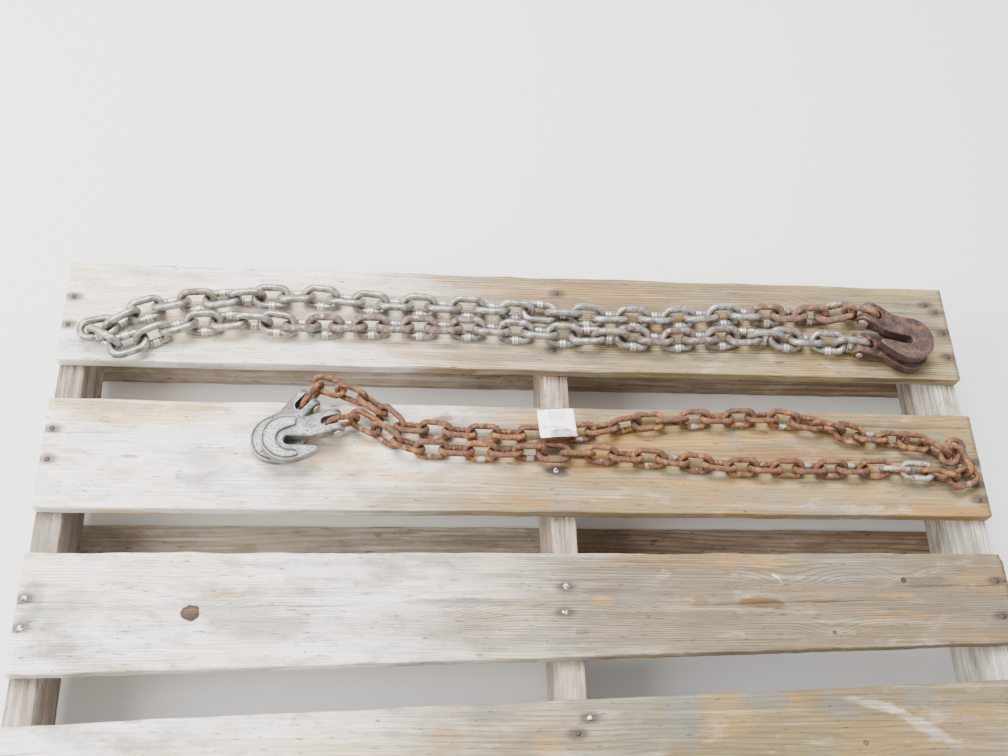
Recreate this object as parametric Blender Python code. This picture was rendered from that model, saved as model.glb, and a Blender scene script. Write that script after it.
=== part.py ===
"""Two steel chains with clevis grab hooks, lying doubled on the wooden pallet that carries them."""

import math

import bmesh
import bpy
import numpy as np
from mathutils import Matrix, Vector

MM = 0.001
GAP = 0.3  # mm of air between pieces that touch

# Pallet, mm. X runs along the deck boards, Y across them, away from the camera.
BOARD_LENGTH = 1016.0
BOARD_WIDTH = 123.7
BOARD_THICK = 16.0
DECK_GAP = 44.7
DECK_BOARDS = 4
STRINGER_WIDTH = 27.5
STRINGER_HEIGHT = 89.0
STRINGER_CENTRES = (STRINGER_WIDTH / 2, 542.5, BOARD_LENGTH - STRINGER_WIDTH / 2)
BOTTOM_BOARD_WIDTH = 89.0
PALLET_WIDTH = DECK_BOARDS * BOARD_WIDTH + (DECK_BOARDS - 1) * DECK_GAP
STRINGER_BASE = BOARD_THICK + GAP
DECK_BASE = STRINGER_BASE + STRINGER_HEIGHT + GAP
DECK_TOP = DECK_BASE + BOARD_THICK
BOARD_BEVEL = 1.5
BOARD_3_SLANTS = (29.0, 4.0)  # mm that its near and far edges lie further away at the right end
BOARD_4_SLANTS = (38.0, 38.0)
DECK_SLANTS = ((0.0, 0.0), (0.0, 0.0), BOARD_3_SLANTS, BOARD_4_SLANTS)

# Chain: wire diameter, width inside the link, both mm. The links lie at 45 degrees either way.
UPPER = {"wire": 8.2, "inside": 12.3, "colour": (0.42, 0.40, 0.38)}
LOWER = {"wire": 6.8, "inside": 10.5, "colour": (0.35, 0.17, 0.08)}
LINKS_IN_RUN = 4
SIX_SIDED = 1.05  # corner radius of the six-sided wire over the round wire's
JOIN_DEPTH = 0.7  # mm that two links of one run sink into each other
HALF_FLAT = 0.414  # an eight-sided bow, as a share of its radius
SHOULDER = 0.586
SHARP_TURN = math.radians(30)
ROUND_ANGLE = math.radians(65)  # faces that meet at less are shaded as one round surface

# Grab hook of the lower chain, mm, measured from its clevis pin.
PLATE_THICK = 12.5
PAD_RISE = 0.6
EAR_RADIUS = 9.0
FORK_WIDTH = 25.0
FORK_SLOT = 10.0
FORK_DEPTH = 15.0
NECK_END = 26.0
PIN_RADIUS = 3.75
PIN_LENGTH = 29.0
PIN_HEAD_RADIUS = 5.6
PIN_HEAD_THICK = 2.6
PIN_SIDES = 14
PLATE_OUTLINE = (
    (16.0, -12.0), (27.0, -11.5), (36.0, -14.5), (45.0, -18.2), (53.0, -19.5), (62.0, -18.0),
    (70.0, -13.5), (76.0, -6.0), (79.2, 3.0), (79.2, 10.0), (76.0, 18.0), (70.0, 26.0),
    (62.0, 31.0), (53.0, 32.6), (44.0, 32.2), (35.0, 31.2), (27.0, 29.4), (24.3, 27.0),
    (24.8, 23.8), (28.0, 21.8), (53.3, 14.6), (56.0, 12.3), (56.2, 8.6), (54.0, 5.8),
    (50.7, 5.4), (33.0, 10.5), (27.0, 12.0), (16.0, 12.0),
)
PAD_OUTLINE = (
    (38.0, -12.4), (45.0, -15.2), (53.0, -16.4), (61.0, -15.0), (68.0, -10.8), (73.2, -4.4),
    (76.1, 3.6), (76.1, 9.4), (73.2, 16.4), (68.0, 23.4), (61.0, 28.0), (53.0, 29.4),
    (46.0, 29.0), (47.0, 24.0), (53.0, 22.6), (60.0, 18.4), (63.4, 12.0), (63.4, 4.6),
    (59.0, -1.6), (50.0, -4.0), (40.0, -4.6),
)
UPPER_HOOK_SCALE = 1.04

# Pin place (x, y on the deck, z above it), heading of the hook in degrees, rise over its length
# in mm, the side its tip is on, scale.
HOOKS = {
    "lower_hook_rear": ((268.5, -174.5, 12.6), 228.0, -5.3, 1, 1.0),
    "lower_hook_front": ((299.0, -203.0, 23.8), 196.0, 1.4, 1, 1.0),
    "upper_hook_under": ((893.0, -90.0, 14.9), -10.0, -6.8, 1, UPPER_HOOK_SCALE),
    "upper_hook_over": ((903.0, -56.5, 28.5), -29.0, 0.0, -1, UPPER_HOOK_SCALE),
}

# Paper tag, mm.
TAG_SIZE = (40.0, 35.0)
TAG_THICK = 0.5
TAG_CENTRE = (535.0, -199.0)
TAG_TURN = 4.0
TAG_REST = 19.3  # height of its middle above the deck, on the lower chain's top run


def on_deck(x, y, z=0.0):
    """A deck place in mm (x from the boards' left ends, y from the far edge) as world metres."""
    return Vector(((x - BOARD_LENGTH / 2) * MM, (y + PALLET_WIDTH / 2) * MM, (z + DECK_TOP) * MM))


def material(name, colour, metallic, roughness):
    made = bpy.data.materials.new(name)
    made.use_nodes = True
    shader = made.node_tree.nodes["Principled BSDF"]
    shader.inputs["Base Color"].default_value = (*colour, 1.0)
    shader.inputs["Metallic"].default_value = metallic
    shader.inputs["Roughness"].default_value = roughness
    return made


def new_object(name, bm, finish=None):
    bmesh.ops.recalc_face_normals(bm, faces=bm.faces)
    mesh = bpy.data.meshes.new(name)
    bm.to_mesh(mesh)
    bm.free()
    obj = bpy.data.objects.new(name, mesh)
    bpy.context.scene.collection.objects.link(obj)
    if finish:
        mesh.materials.append(finish)
    return obj


def helper(name, bm):
    obj = new_object(name, bm)
    obj.hide_render = True
    obj.display_type = "WIRE"
    return obj


def shaded_smooth(obj):
    obj.data.shade_smooth()
    obj.data.set_sharp_from_angle(angle=ROUND_ANGLE)
    return obj


def combine(obj, others, operation):
    for other in others:
        modifier = obj.modifiers.new(operation.title(), "BOOLEAN")
        modifier.operation = operation
        modifier.solver = "EXACT"
        modifier.object = other


def box(low, high):
    bm = bmesh.new()
    middle = [(a + b) / 2 for a, b in zip(low, high)]
    size = [b - a for a, b in zip(low, high)]
    matrix = Matrix.LocRotScale(Vector(middle), None, Vector(size))
    bmesh.ops.create_cube(bm, size=1.0, matrix=matrix)
    return bm


def prism(outline, half):
    """An outline in the XY plane made solid from -half to +half in Z."""
    bm = bmesh.new()
    bottom = [bm.verts.new((x, y, -half)) for x, y in outline]
    top = [bm.verts.new((x, y, half)) for x, y in outline]
    bm.faces.new(bottom[::-1])
    bm.faces.new(top)
    for i in range(len(outline)):
        j = (i + 1) % len(outline)
        bm.faces.new((bottom[i], bottom[j], top[j], top[i]))
    return bm


def pallet_board(name, low, high, finish, slants=(0.0, 0.0)):
    """A board. Its near and far edges may slant, each by so many mm over the deck's length."""
    bm = box(low, high)
    for corner in bm.verts:
        slant = slants[0] if corner.co.y < (low[1] + high[1]) / 2 else slants[1]
        corner.co.y += slant * corner.co.x / BOARD_LENGTH
    centred = Matrix.Translation((-BOARD_LENGTH / 2, -PALLET_WIDTH / 2, 0.0))
    bmesh.ops.transform(bm, matrix=centred, verts=bm.verts)
    bmesh.ops.transform(bm, matrix=Matrix.Scale(MM, 4), verts=bm.verts)
    bmesh.ops.bevel(bm, geom=list(bm.edges), offset=BOARD_BEVEL * MM, segments=1, affect="EDGES")
    return new_object(name, bm, finish)


def build_pallet():
    deck_wood = material("deck_wood", (0.46, 0.36, 0.26), 0.0, 0.85)
    frame_wood = material("frame_wood", (0.33, 0.25, 0.17), 0.0, 0.9)
    step = BOARD_WIDTH + DECK_GAP
    for i in range(DECK_BOARDS):
        far = PALLET_WIDTH - i * step
        low, high = (0, far - BOARD_WIDTH, DECK_BASE), (BOARD_LENGTH, far, DECK_TOP)
        pallet_board(f"deck_board_{i + 1}", low, high, deck_wood, DECK_SLANTS[i])
    for name, x in zip(("left", "middle", "right"), STRINGER_CENTRES):
        half = STRINGER_WIDTH / 2
        low = (x - half, 0, STRINGER_BASE)
        high = (x + half, PALLET_WIDTH, STRINGER_BASE + STRINGER_HEIGHT)
        pallet_board(f"stringer_{name}", low, high, frame_wood)
    room = (PALLET_WIDTH - BOTTOM_BOARD_WIDTH) / 2
    for i, name in enumerate(("near", "middle", "far")):
        near = i * room
        high = (BOARD_LENGTH, near + BOTTOM_BOARD_WIDTH, BOARD_THICK)
        pallet_board(f"bottom_board_{name}", (0, near, 0), high, frame_wood)


def link_frame(start, end, roll):
    """A link's middle, its directions along, across and out of its plane, and half its length."""
    along = (end - start).normalized()
    flat_side = Vector((0, 0, 1)).cross(along).normalized()
    across = math.cos(roll) * flat_side + math.sin(roll) * along.cross(flat_side)
    return (start + end) / 2, along, across, along.cross(across), (end - start).length / 2


def link_path(chain, tip):
    """Corners of the wire's centre line in the link's plane: two rails, and bows of three pieces."""
    radius = (chain["inside"] + chain["wire"]) / 2
    corner, rail = HALF_FLAT * radius, tip - SHOULDER * radius
    return [
        (tip, -corner), (tip, corner), (rail, radius), (-rail, radius),
        (-tip, corner), (-tip, -corner), (-rail, -radius), (rail, -radius),
    ]


def centre_line(chain, start, end, roll):
    """Points along the wire's centre line, to measure how close two links come."""
    middle, along, across, _, tip = link_frame(start, end, roll)
    corners = np.array(link_path(chain, tip))
    following = np.roll(corners, -1, axis=0)
    steps = np.linspace(0, 1, 8, endpoint=False)[:, None, None]
    flat = (corners + (following - corners) * steps).reshape(-1, 2)
    return np.array(middle) + flat[:, :1] * np.array(along) + flat[:, 1:] * np.array(across)


def link_solid(chain, start, end, roll):
    """One closed link as a six-sided wire. Start and end are its bows' centre-line tips, in deck mm."""
    thick = chain["wire"] / 2 * SIX_SIDED
    middle, along, across, normal, tip = link_frame(Vector(start), Vector(end), roll)
    path = link_path(chain, tip)
    bm = bmesh.new()
    rings = []
    for i, (x, y) in enumerate(path):
        here = np.array((x, y))
        before = here - np.array(path[i - 1])
        after = np.array(path[(i + 1) % len(path)]) - here
        turn = before / np.linalg.norm(before) + after / np.linalg.norm(after)
        turn /= np.linalg.norm(turn)
        outward = np.array((turn[1], -turn[0]))
        miter = 1 / (turn @ (after / np.linalg.norm(after)))
        ring = []
        for k in range(6):
            angle = math.radians(60 * k + 90)
            x, y = (here + outward * math.cos(angle) * thick * miter).tolist()
            offset = x * along + y * across + math.sin(angle) * thick * normal
            ring.append(bm.verts.new(on_deck(*(middle + offset))))
        rings.append(ring)
    for i, ring in enumerate(rings):
        following = rings[(i + 1) % len(rings)]
        for k in range(6):
            m = (k + 1) % 6
            bm.faces.new((ring[k], ring[m], following[m], following[k]))
    return bm


def rest_height(chain, roll):
    """Height of a link's centre above the deck when its lower rail rests there, for a roll in degrees."""
    radius = (chain["inside"] + chain["wire"]) / 2
    return radius * abs(math.sin(math.radians(roll))) + chain["wire"] / 2 * SIX_SIDED + GAP


def pivots(stations):
    """Places where neighbouring links meet, from stations (x, y, z, links since the station before)."""
    places = [Vector(stations[0][:3])]
    for x, y, z, count in stations[1:]:
        begin, end = places[-1].copy(), Vector((x, y, z))
        places += [begin.lerp(end, (i + 1) / count) for i in range(count)]
    return places


def rolls_of(count, first, twists):
    """Rolls in degrees: 45 either way in turn, plus the lay's slow twist, given as (link, degrees) keys."""
    keys, values = zip(*twists)
    return [first * (-1) ** i + float(np.interp(i, keys, values)) for i in range(count)]


def settled(chain, places, rolls):
    """The same pivots, raised where a link would sink into the deck."""
    raised = []
    for i, place in enumerate(places):
        beside = rolls[max(0, i - 1): i + 1]
        lowest = max(rest_height(chain, roll) for roll in beside)
        raised.append(Vector((place.x, place.y, max(place.z, lowest))))
    return raised


def reach_at(chain, places, rolls, i, joined):
    """How far links i - 1 and i go past the pivot between them, so that their wires pass rightly."""
    thick = chain["wire"] * SIX_SIDED
    wanted = thick * math.cos(math.radians(30)) - JOIN_DEPTH if joined else thick + GAP
    if not 0 < i < len(places) - 1:
        return wanted / 2, wanted / 2
    before, here, after = places[i - 1: i + 2]
    heading_in, heading_out = (here - before).normalized(), (after - here).normalized()
    upright = [abs(math.sin(math.radians(roll))) > 0.9 for roll in rolls[i - 1: i + 1]]
    if heading_in.angle(heading_out) > SHARP_TURN and upright[0] != upright[1]:
        # An upright link swivels at the middle of the flat link's bow.
        radius = (chain["inside"] + chain["wire"]) / 2
        return (wanted - radius, radius) if upright[0] else (radius, wanted - radius)
    best = (0.0, 0.0)
    for reach in np.arange(0.35, 1.2, 0.01) * chain["wire"]:
        one = centre_line(chain, before, here + heading_in * reach, math.radians(rolls[i - 1]))
        two = centre_line(chain, here - heading_out * reach, after, math.radians(rolls[i]))
        distance = np.linalg.norm(one[:, None] - two[None], axis=2).min()
        if distance >= wanted:
            return reach, reach
        best = max(best, (distance, reach))
    return best[1], best[1]


def strand(name, chain, places, rolls, finish):
    """Links from pivot to pivot, joined by a small overlap into runs of a few links each."""
    places = settled(chain, places, rolls)
    count = len(places) - 1
    joined = [i < count and i % LINKS_IN_RUN > 0 for i in range(count + 1)]
    reach = [reach_at(chain, places, rolls, i, joined[i]) for i in range(count + 1)]
    for number, begin in enumerate(range(0, count, LINKS_IN_RUN), 1):
        solids = []
        for i in range(begin, min(begin + LINKS_IN_RUN, count)):
            heading = (places[i + 1] - places[i]).normalized()
            start = places[i] - heading * reach[i][1]
            end = places[i + 1] + heading * reach[i + 1][0]
            solids.append(link_solid(chain, start, end, math.radians(rolls[i])))
        label = f"{name}_{number:02d}"
        run = shaded_smooth(new_object(label, solids[0], finish))
        others = [shaded_smooth(helper(f"{label}_link_{n}", s)) for n, s in enumerate(solids[1:], 2)]
        combine(run, others, "UNION")


def hook_frame(pin, heading, rise, side, scale):
    """World matrix of a hook: X from its pin to its bend, Y to the tip's side, Z up out of the plate."""
    turn = math.radians(heading)
    length = PLATE_OUTLINE[8][0]
    along = Vector((math.cos(turn) * length, math.sin(turn) * length, rise)).normalized()
    across = Vector((0, 0, 1)).cross(along).normalized() * side
    matrix = Matrix((along, across, along.cross(across))).transposed().to_4x4()
    return Matrix.Translation(on_deck(*pin)) @ matrix @ Matrix.Scale(MM * scale, 4)


def build_hook(name, spec, finish, pin_finish):
    frame = hook_frame(*spec)
    half = PLATE_THICK / 2
    body = prism(PLATE_OUTLINE, half)
    pad = prism(PAD_OUTLINE, half + PAD_RISE)
    around = np.linspace(0, math.pi, 9)
    side_view = [(-EAR_RADIUS * math.sin(a), EAR_RADIUS * math.cos(a)) for a in around]
    side_view += [(8.0, -EAR_RADIUS), (NECK_END, 1 - half), (NECK_END, half - 1), (8.0, EAR_RADIUS)]
    fork = prism(side_view, FORK_WIDTH / 2)
    bmesh.ops.transform(fork, matrix=Matrix.Rotation(math.pi / 2, 4, "X"), verts=fork.verts)
    wide, mouth = FORK_SLOT / 2, -EAR_RADIUS * 2
    around = np.linspace(-math.pi / 2, math.pi / 2, 7)
    crotch = [(FORK_DEPTH - wide + wide * math.cos(a), wide * math.sin(a)) for a in around]
    slot = prism([(mouth, -wide), *crotch, (mouth, wide)], EAR_RADIUS * 2)
    hole = bmesh.new()
    bore = PIN_RADIUS + GAP
    bmesh.ops.create_cone(
        hole, cap_ends=True, segments=16, radius1=bore, radius2=bore, depth=FORK_WIDTH * 2,
        matrix=Matrix.Rotation(math.pi / 2, 4, "X"),
    )
    for solid in (body, pad, fork, slot, hole):
        bmesh.ops.transform(solid, matrix=frame, verts=solid.verts)
    obj = new_object(name, body, finish)
    combine(obj, [helper(f"{name}_pad", pad), helper(f"{name}_fork", fork)], "UNION")
    combine(obj, [helper(f"{name}_slot", slot), helper(f"{name}_hole", hole)], "DIFFERENCE")

    shoulder = FORK_WIDTH / 2 + GAP
    profile = [(0.0, -PIN_LENGTH / 2), (PIN_RADIUS, -PIN_LENGTH / 2), (PIN_RADIUS, shoulder),
               (PIN_HEAD_RADIUS, shoulder), (PIN_HEAD_RADIUS, shoulder + PIN_HEAD_THICK),
               (0.0, shoulder + PIN_HEAD_THICK)]
    pin = bmesh.new()
    around = np.arange(PIN_SIDES) * 2 * math.pi / PIN_SIDES
    rings = []
    for radius, y in profile:
        corners = [(radius * math.cos(a), y, radius * math.sin(a)) for a in around]
        rings.append([pin.verts.new(corner) for corner in (corners if radius else [(0, y, 0)])])
    for low, high in zip(rings, rings[1:]):
        for k in range(PIN_SIDES):
            m = (k + 1) % PIN_SIDES
            corners = [low[k % len(low)], low[m % len(low)], high[m % len(high)], high[k % len(high)]]
            pin.faces.new(list(dict.fromkeys(corners)))
    bmesh.ops.transform(pin, matrix=frame, verts=pin.verts)
    shaded_smooth(new_object(f"{name}_pin", pin, pin_finish))


def on_pin(hook, chain, far):
    """The pivot that puts an upright link's inner end on the hook's pin, with its other pivot at far."""
    pin, scale = Vector(HOOKS[hook][0]), HOOKS[hook][4]
    heading = (pin - Vector(far)).normalized()
    return pin + heading * (PIN_RADIUS * scale + GAP / 2)


def build_tag():
    finish = material("tag_paper", (0.85, 0.85, 0.82), 0.0, 0.8)
    turn = math.radians(TAG_TURN)
    bm = bmesh.new()
    columns, rows = 7, 6
    sheets = []
    for side in (0.0, TAG_THICK):
        sheet = []
        for j in range(rows):
            for i in range(columns):
                u, v = i / (columns - 1) - 0.5, j / (rows - 1) - 0.5
                x, y = u * TAG_SIZE[0], v * TAG_SIZE[1]
                curl = 80.0 * max(0.0, -v - 0.25) ** 2 - 3.0 * max(0.0, v) ** 2
                rise = TAG_REST + 1.6 * math.cos(2.4 * u) + curl
                place = (
                    TAG_CENTRE[0] + x * math.cos(turn) - y * math.sin(turn),
                    TAG_CENTRE[1] + x * math.sin(turn) + y * math.cos(turn),
                    rise + side,
                )
                sheet.append(bm.verts.new(on_deck(*place)))
        sheets.append(sheet)
    under, over = sheets
    for j in range(rows - 1):
        for i in range(columns - 1):
            a, b = j * columns + i, j * columns + i + 1
            c, d = b + columns, a + columns
            bm.faces.new((over[a], over[b], over[c], over[d]))
            bm.faces.new((under[d], under[c], under[b], under[a]))
    rim = (
        [i for i in range(columns)]
        + [j * columns + columns - 1 for j in range(1, rows)]
        + [(rows - 1) * columns + i for i in range(columns - 2, -1, -1)]
        + [j * columns for j in range(rows - 2, 0, -1)]
    )
    for a, b in zip(rim, rim[1:] + rim[:1]):
        bm.faces.new((under[a], under[b], over[b], over[a]))
    return new_object("paper_tag", bm, finish)


def build_upper_chain(finish):
    last = (881.2, -46.2, 19.0)
    top = pivots([
        (54.6, -89.0, 14.2, 0), (78.3, -72.5, 0, 1), (103.0, -61.0, 0, 1), (130.0, -54.5, 0, 1),
        (184.0, -49.0, 0, 2), (265.0, -43.5, 0, 3), (347.0, -51.0, 0, 3), (455.0, -53.0, 0, 4),
        (510.0, -56.5, 0, 2), (591.0, -60.0, 0, 3), (671.0, -59.5, 0, 3), (751.0, -51.5, 0, 3),
        (828.5, -50.5, 0, 3), (854.5, -50.0, 12.8, 1), (*last, 1),
    ])
    top.append(on_pin("upper_hook_over", UPPER, last))
    twists = ((0, -35), (2, 0), (3, 0), (7, 90), (15, 90), (19, 180), (27, 180), (31, 225))
    strand("upper_chain_top", UPPER, top, rolls_of(len(top) - 1, -45, twists), finish)

    # The turn at the left: a flat ring, and an upright link folded back through it.
    middle, heading = Vector((43.0, -92.0, 14.4)), math.radians(195)
    axis = Vector((math.cos(heading), math.sin(heading), 0)) * (13.6 + UPPER["wire"] / 2)
    new_object("upper_chain_turn_ring", link_solid(UPPER, middle - axis, middle + axis, 0.0), finish)

    last = (870.2, -88.0, 14.9)
    bottom = pivots([
        (39.8, -97.6, 15.0, 0), (69.3, -113.6, 0, 1), (89.9, -104.2, 0, 1), (114.4, -92.7, 0, 1),
        (140.0, -81.5, 0, 1), (193.0, -77.5, 0, 2), (246.0, -81.5, 0, 2), (347.0, -79.5, 0, 4),
        (455.0, -79.5, 0, 4), (563.0, -85.0, 0, 4), (668.0, -87.5, 0, 4), (746.0, -81.5, 0, 3),
        (844.5, -84.0, 0, 4), (*last, 1),
    ])
    bottom.append(on_pin("upper_hook_under", UPPER, last))
    twists = ((0, 45), (1, 45), (3, 0), (4, 0), (8, 90), (19, 90), (23, 180), (26, 180), (30, 270),
              (32, 225))
    strand("upper_chain_bottom", UPPER, bottom, rolls_of(len(bottom) - 1, 45, twists), finish)


def build_lower_chain(finish):
    rear, front = (283.9, -152.8, 12.6), (324.0, -194.5, 15.0)
    route = pivots([
        rear, (303.6, -158.8, 0, 1), (327.0, -168.5, 0, 1), (348.5, -183.0, 0, 1), (366.5, -200.5, 0, 1),
        (443.5, -207.0, 0, 3), (523.0, -208.0, 0, 3), (573.0, -202.0, 0, 2), (624.0, -191.0, 0, 2),
        (703.0, -184.5, 0, 3), (779.0, -181.5, 0, 3), (829.0, -190.5, 0, 2), (876.0, -203.0, 0, 2),
        (923.5, -207.5, 0, 2), (948.5, -211.0, 0, 1), (973.5, -226.5, 0, 1), (983.6, -214.5, 0, 1),
        (992.8, -248.7, 0, 1), (978.0, -254.0, 0, 1), (943.8, -244.8, 0, 1), (923.3, -243.3, 0, 1),
        (897.9, -241.5, 0, 1), (800.0, -242.5, 0, 4), (724.0, -241.5, 0, 3), (648.0, -233.5, 0, 3),
        (570.0, -229.0, 0, 3), (466.5, -228.0, 0, 4), (388.0, -226.0, 0, 3), (363.5, -218.3, 0, 1),
        (342.5, -203.5, 0, 1), (*front, 1),
    ])
    route = [on_pin("lower_hook_rear", LOWER, rear)] + route + [on_pin("lower_hook_front", LOWER, front)]
    twists = ((0, 45), (1, 45), (3, 0), (13, 0), (17, 90), (21, 90), (25, 180), (27, 225), (28, 225),
              (33, 225), (35, 180), (47, 180), (51, 270), (55, 270), (56, 258), (57, 225), (58, 225))
    strand("lower_chain", LOWER, route, rolls_of(len(route) - 1, 45, twists), finish)


def clear_scene():
    for obj in list(bpy.data.objects):
        bpy.data.objects.remove(obj)


clear_scene()
build_pallet()
build_upper_chain(material("galvanised_links", UPPER["colour"], 0.7, 0.5))
build_lower_chain(material("rusty_links", LOWER["colour"], 0.3, 0.8))
hook_steel = material("hook_steel", (0.30, 0.20, 0.15), 0.6, 0.6)
pin_steel = material("pin_steel", (0.45, 0.42, 0.38), 0.8, 0.45)
for hook_name, hook_spec in HOOKS.items():
    build_hook(hook_name, hook_spec, hook_steel, pin_steel)
build_tag()
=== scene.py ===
"""Two steel chains with clevis grab hooks, lying doubled on a wooden pallet."""

import math

import bmesh
import bpy
import numpy as np
from mathutils import Matrix, Vector, noise


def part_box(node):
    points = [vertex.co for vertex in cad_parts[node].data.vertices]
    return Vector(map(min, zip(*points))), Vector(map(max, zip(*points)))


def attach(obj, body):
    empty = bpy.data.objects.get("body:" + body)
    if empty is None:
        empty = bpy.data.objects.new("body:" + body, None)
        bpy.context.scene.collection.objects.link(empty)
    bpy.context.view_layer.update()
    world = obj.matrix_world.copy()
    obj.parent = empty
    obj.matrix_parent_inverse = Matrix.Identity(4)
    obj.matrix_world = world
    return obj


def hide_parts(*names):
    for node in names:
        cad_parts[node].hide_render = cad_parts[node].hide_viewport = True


# The frame
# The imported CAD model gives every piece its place. Places below are in mm on the deck: X from
# the boards' left ends, Y from the far edge of the deck, Z up from the boards' top faces.
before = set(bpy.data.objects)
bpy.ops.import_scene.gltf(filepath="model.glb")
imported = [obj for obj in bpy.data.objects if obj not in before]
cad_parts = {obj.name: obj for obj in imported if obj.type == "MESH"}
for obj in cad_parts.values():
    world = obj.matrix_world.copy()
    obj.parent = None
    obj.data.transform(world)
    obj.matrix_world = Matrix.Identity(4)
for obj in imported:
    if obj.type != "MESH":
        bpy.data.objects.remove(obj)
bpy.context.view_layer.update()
MM = 0.001
DECK_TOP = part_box("deck_board_1")[1][2]
DECK_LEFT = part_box("deck_board_1")[0][0]
DECK_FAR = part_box("deck_board_1")[1][1]


def on_deck(x, y, z=0.0):
    return Vector((DECK_LEFT + x * MM, DECK_FAR + y * MM, DECK_TOP + z * MM))


# The camera
# Held over the near side of the pallet, looking steeply down and a little to the right.
def in_scene(name, data):
    obj = bpy.data.objects.new(name, data)
    bpy.context.scene.collection.objects.link(obj)
    return obj


CAMERA_PLACE = (341.0, -729.0, 1150.0)
CAMERA_YAW, CAMERA_PITCH, CAMERA_ROLL = (math.radians(angle) for angle in (13.32, 62.02, 13.06))
ahead = Vector((
    math.sin(CAMERA_YAW) * math.cos(CAMERA_PITCH),
    math.cos(CAMERA_YAW) * math.cos(CAMERA_PITCH),
    -math.sin(CAMERA_PITCH),
))
level = Vector((math.cos(CAMERA_YAW), -math.sin(CAMERA_YAW), 0.0))
overhead = level.cross(ahead)
right = math.cos(CAMERA_ROLL) * level + math.sin(CAMERA_ROLL) * overhead
up = math.cos(CAMERA_ROLL) * overhead - math.sin(CAMERA_ROLL) * level
camera = in_scene("camera", bpy.data.cameras.new("camera"))
camera.data.sensor_width, camera.data.lens, camera.data.clip_start = 36.0, 42.0, 0.02
turned = Matrix((right, up, -ahead)).transposed().to_4x4()
camera.matrix_world = Matrix.Translation(on_deck(*CAMERA_PLACE)) @ turned
bpy.context.scene.camera = camera


# The floor and the light
# A plain pale floor under the pallet, a bright even sky, and two broad soft lamps: one overhead
# and one at the left.
class Value:
    """A socket of a node tree. Each operator adds its Math node."""

    def __init__(self, net, socket):
        self.net, self.socket = net, socket

    def __add__(self, other):
        return self.net.math("ADD", self, other)

    def __sub__(self, other):
        return self.net.math("SUBTRACT", self, other)

    def __rsub__(self, other):
        return self.net.math("SUBTRACT", other, self)

    def __mul__(self, other):
        return self.net.math("MULTIPLY", self, other)

    def __truediv__(self, other):
        return self.net.math("DIVIDE", self, other)

    def __rtruediv__(self, other):
        return self.net.math("DIVIDE", other, self)

    __radd__ = __add__
    __rmul__ = __mul__


class Net:
    """A node tree being built."""

    def __init__(self, tree):
        self.tree = tree

    def node(self, kind, settings=None, inputs=None, output=0):
        made = self.tree.nodes.new(kind)
        for name, value in (settings or {}).items():
            setattr(made, name, value)
        for name, value in (inputs or {}).items():
            self.feed(made.inputs[name], value)
        return Value(self, made.outputs[output])

    def feed(self, socket, value):
        if isinstance(value, Value):
            self.tree.links.new(value.socket, socket)
        elif socket.type == "RGBA":
            socket.default_value = (*value, 1.0)
        else:
            socket.default_value = value

    def math(self, operation, *values):
        return self.node("ShaderNodeMath", {"operation": operation}, dict(enumerate(values)))

    def part(self, axis, vector):
        return self.node("ShaderNodeSeparateXYZ", {}, {"Vector": vector}, axis)


class Finish(Net):
    """A material for a piece, fed on its Principled shader."""

    def __init__(self, name, fixed=None):
        self.material = bpy.data.materials.new(name)
        self.material.use_nodes = True
        super().__init__(self.material.node_tree)
        self.shader = self.tree.nodes["Principled BSDF"]
        self.object_place = self.node("ShaderNodeTexCoord", output="Object")
        for socket, value in (fixed or {}).items():
            self.set(socket, value)

    def set(self, socket, value):
        self.feed(self.shader.inputs[socket], value)

    def grain(self, scale, shift=(0.0, 0.0, 0.0), detail=3.0, roughness=0.5, warp=0.0):
        """Noise on the object's own place, in repeats per metre: one number, or one for each axis."""
        scale = scale if isinstance(scale, tuple) else (scale, scale, scale)
        place = self.node(
            "ShaderNodeVectorMath", {"operation": "MULTIPLY_ADD"}, {0: self.object_place, 1: scale, 2: shift}
        )
        return self.node(
            "ShaderNodeTexNoise", {},
            {"Vector": place, "Scale": 1.0, "Detail": detail, "Roughness": roughness, "Distortion": warp},
        )

    def between(self, value, low, high, to_low=0.0, to_high=1.0):
        """0 where the value is at low, rising smoothly to 1 where it is at high."""
        return self.node(
            "ShaderNodeMapRange", {"interpolation_type": "SMOOTHSTEP"},
            {"Value": value, "From Min": low, "From Max": high, "To Min": to_low, "To Max": to_high},
        )

    def mix(self, share, first, second):
        # A Mix node's colours are its inputs 6 and 7 and its output 2.
        return self.node("ShaderNodeMix", {"data_type": "RGBA"}, {0: share, 6: first, 7: second}, 2)

    def layers(self, tone, *rows):
        """The tone under layers (value, low, high, share, colour), each full where its value is at high."""
        for value, low, high, share, colour in rows:
            tone = self.mix(self.between(value, low, high) * share, tone, colour)
        return tone

    def attribute(self, name, output="Fac"):
        return self.node("ShaderNodeAttribute", {"attribute_name": name}, output=output)

    def along(self, axis):
        return self.part(axis, self.object_place)

    def relief(self, height, depth):
        self.set("Normal", self.node("ShaderNodeBump", {}, {"Height": height, "Distance": depth}))


FLOOR_HALF = 6.0
floor_corners = [(x * FLOOR_HALF, y * FLOOR_HALF, 0) for x, y in ((-1, -1), (1, -1), (1, 1), (-1, 1))]
floor_mesh = bpy.data.meshes.new("floor")
floor_mesh.from_pydata(floor_corners, [], [(0, 1, 2, 3)])
floor = in_scene("floor", floor_mesh)
pale = Finish("pale_floor", {"Base Color": (0.80, 0.79, 0.77), "Roughness": 0.9})
floor_mesh.materials.append(pale.material)

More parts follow.
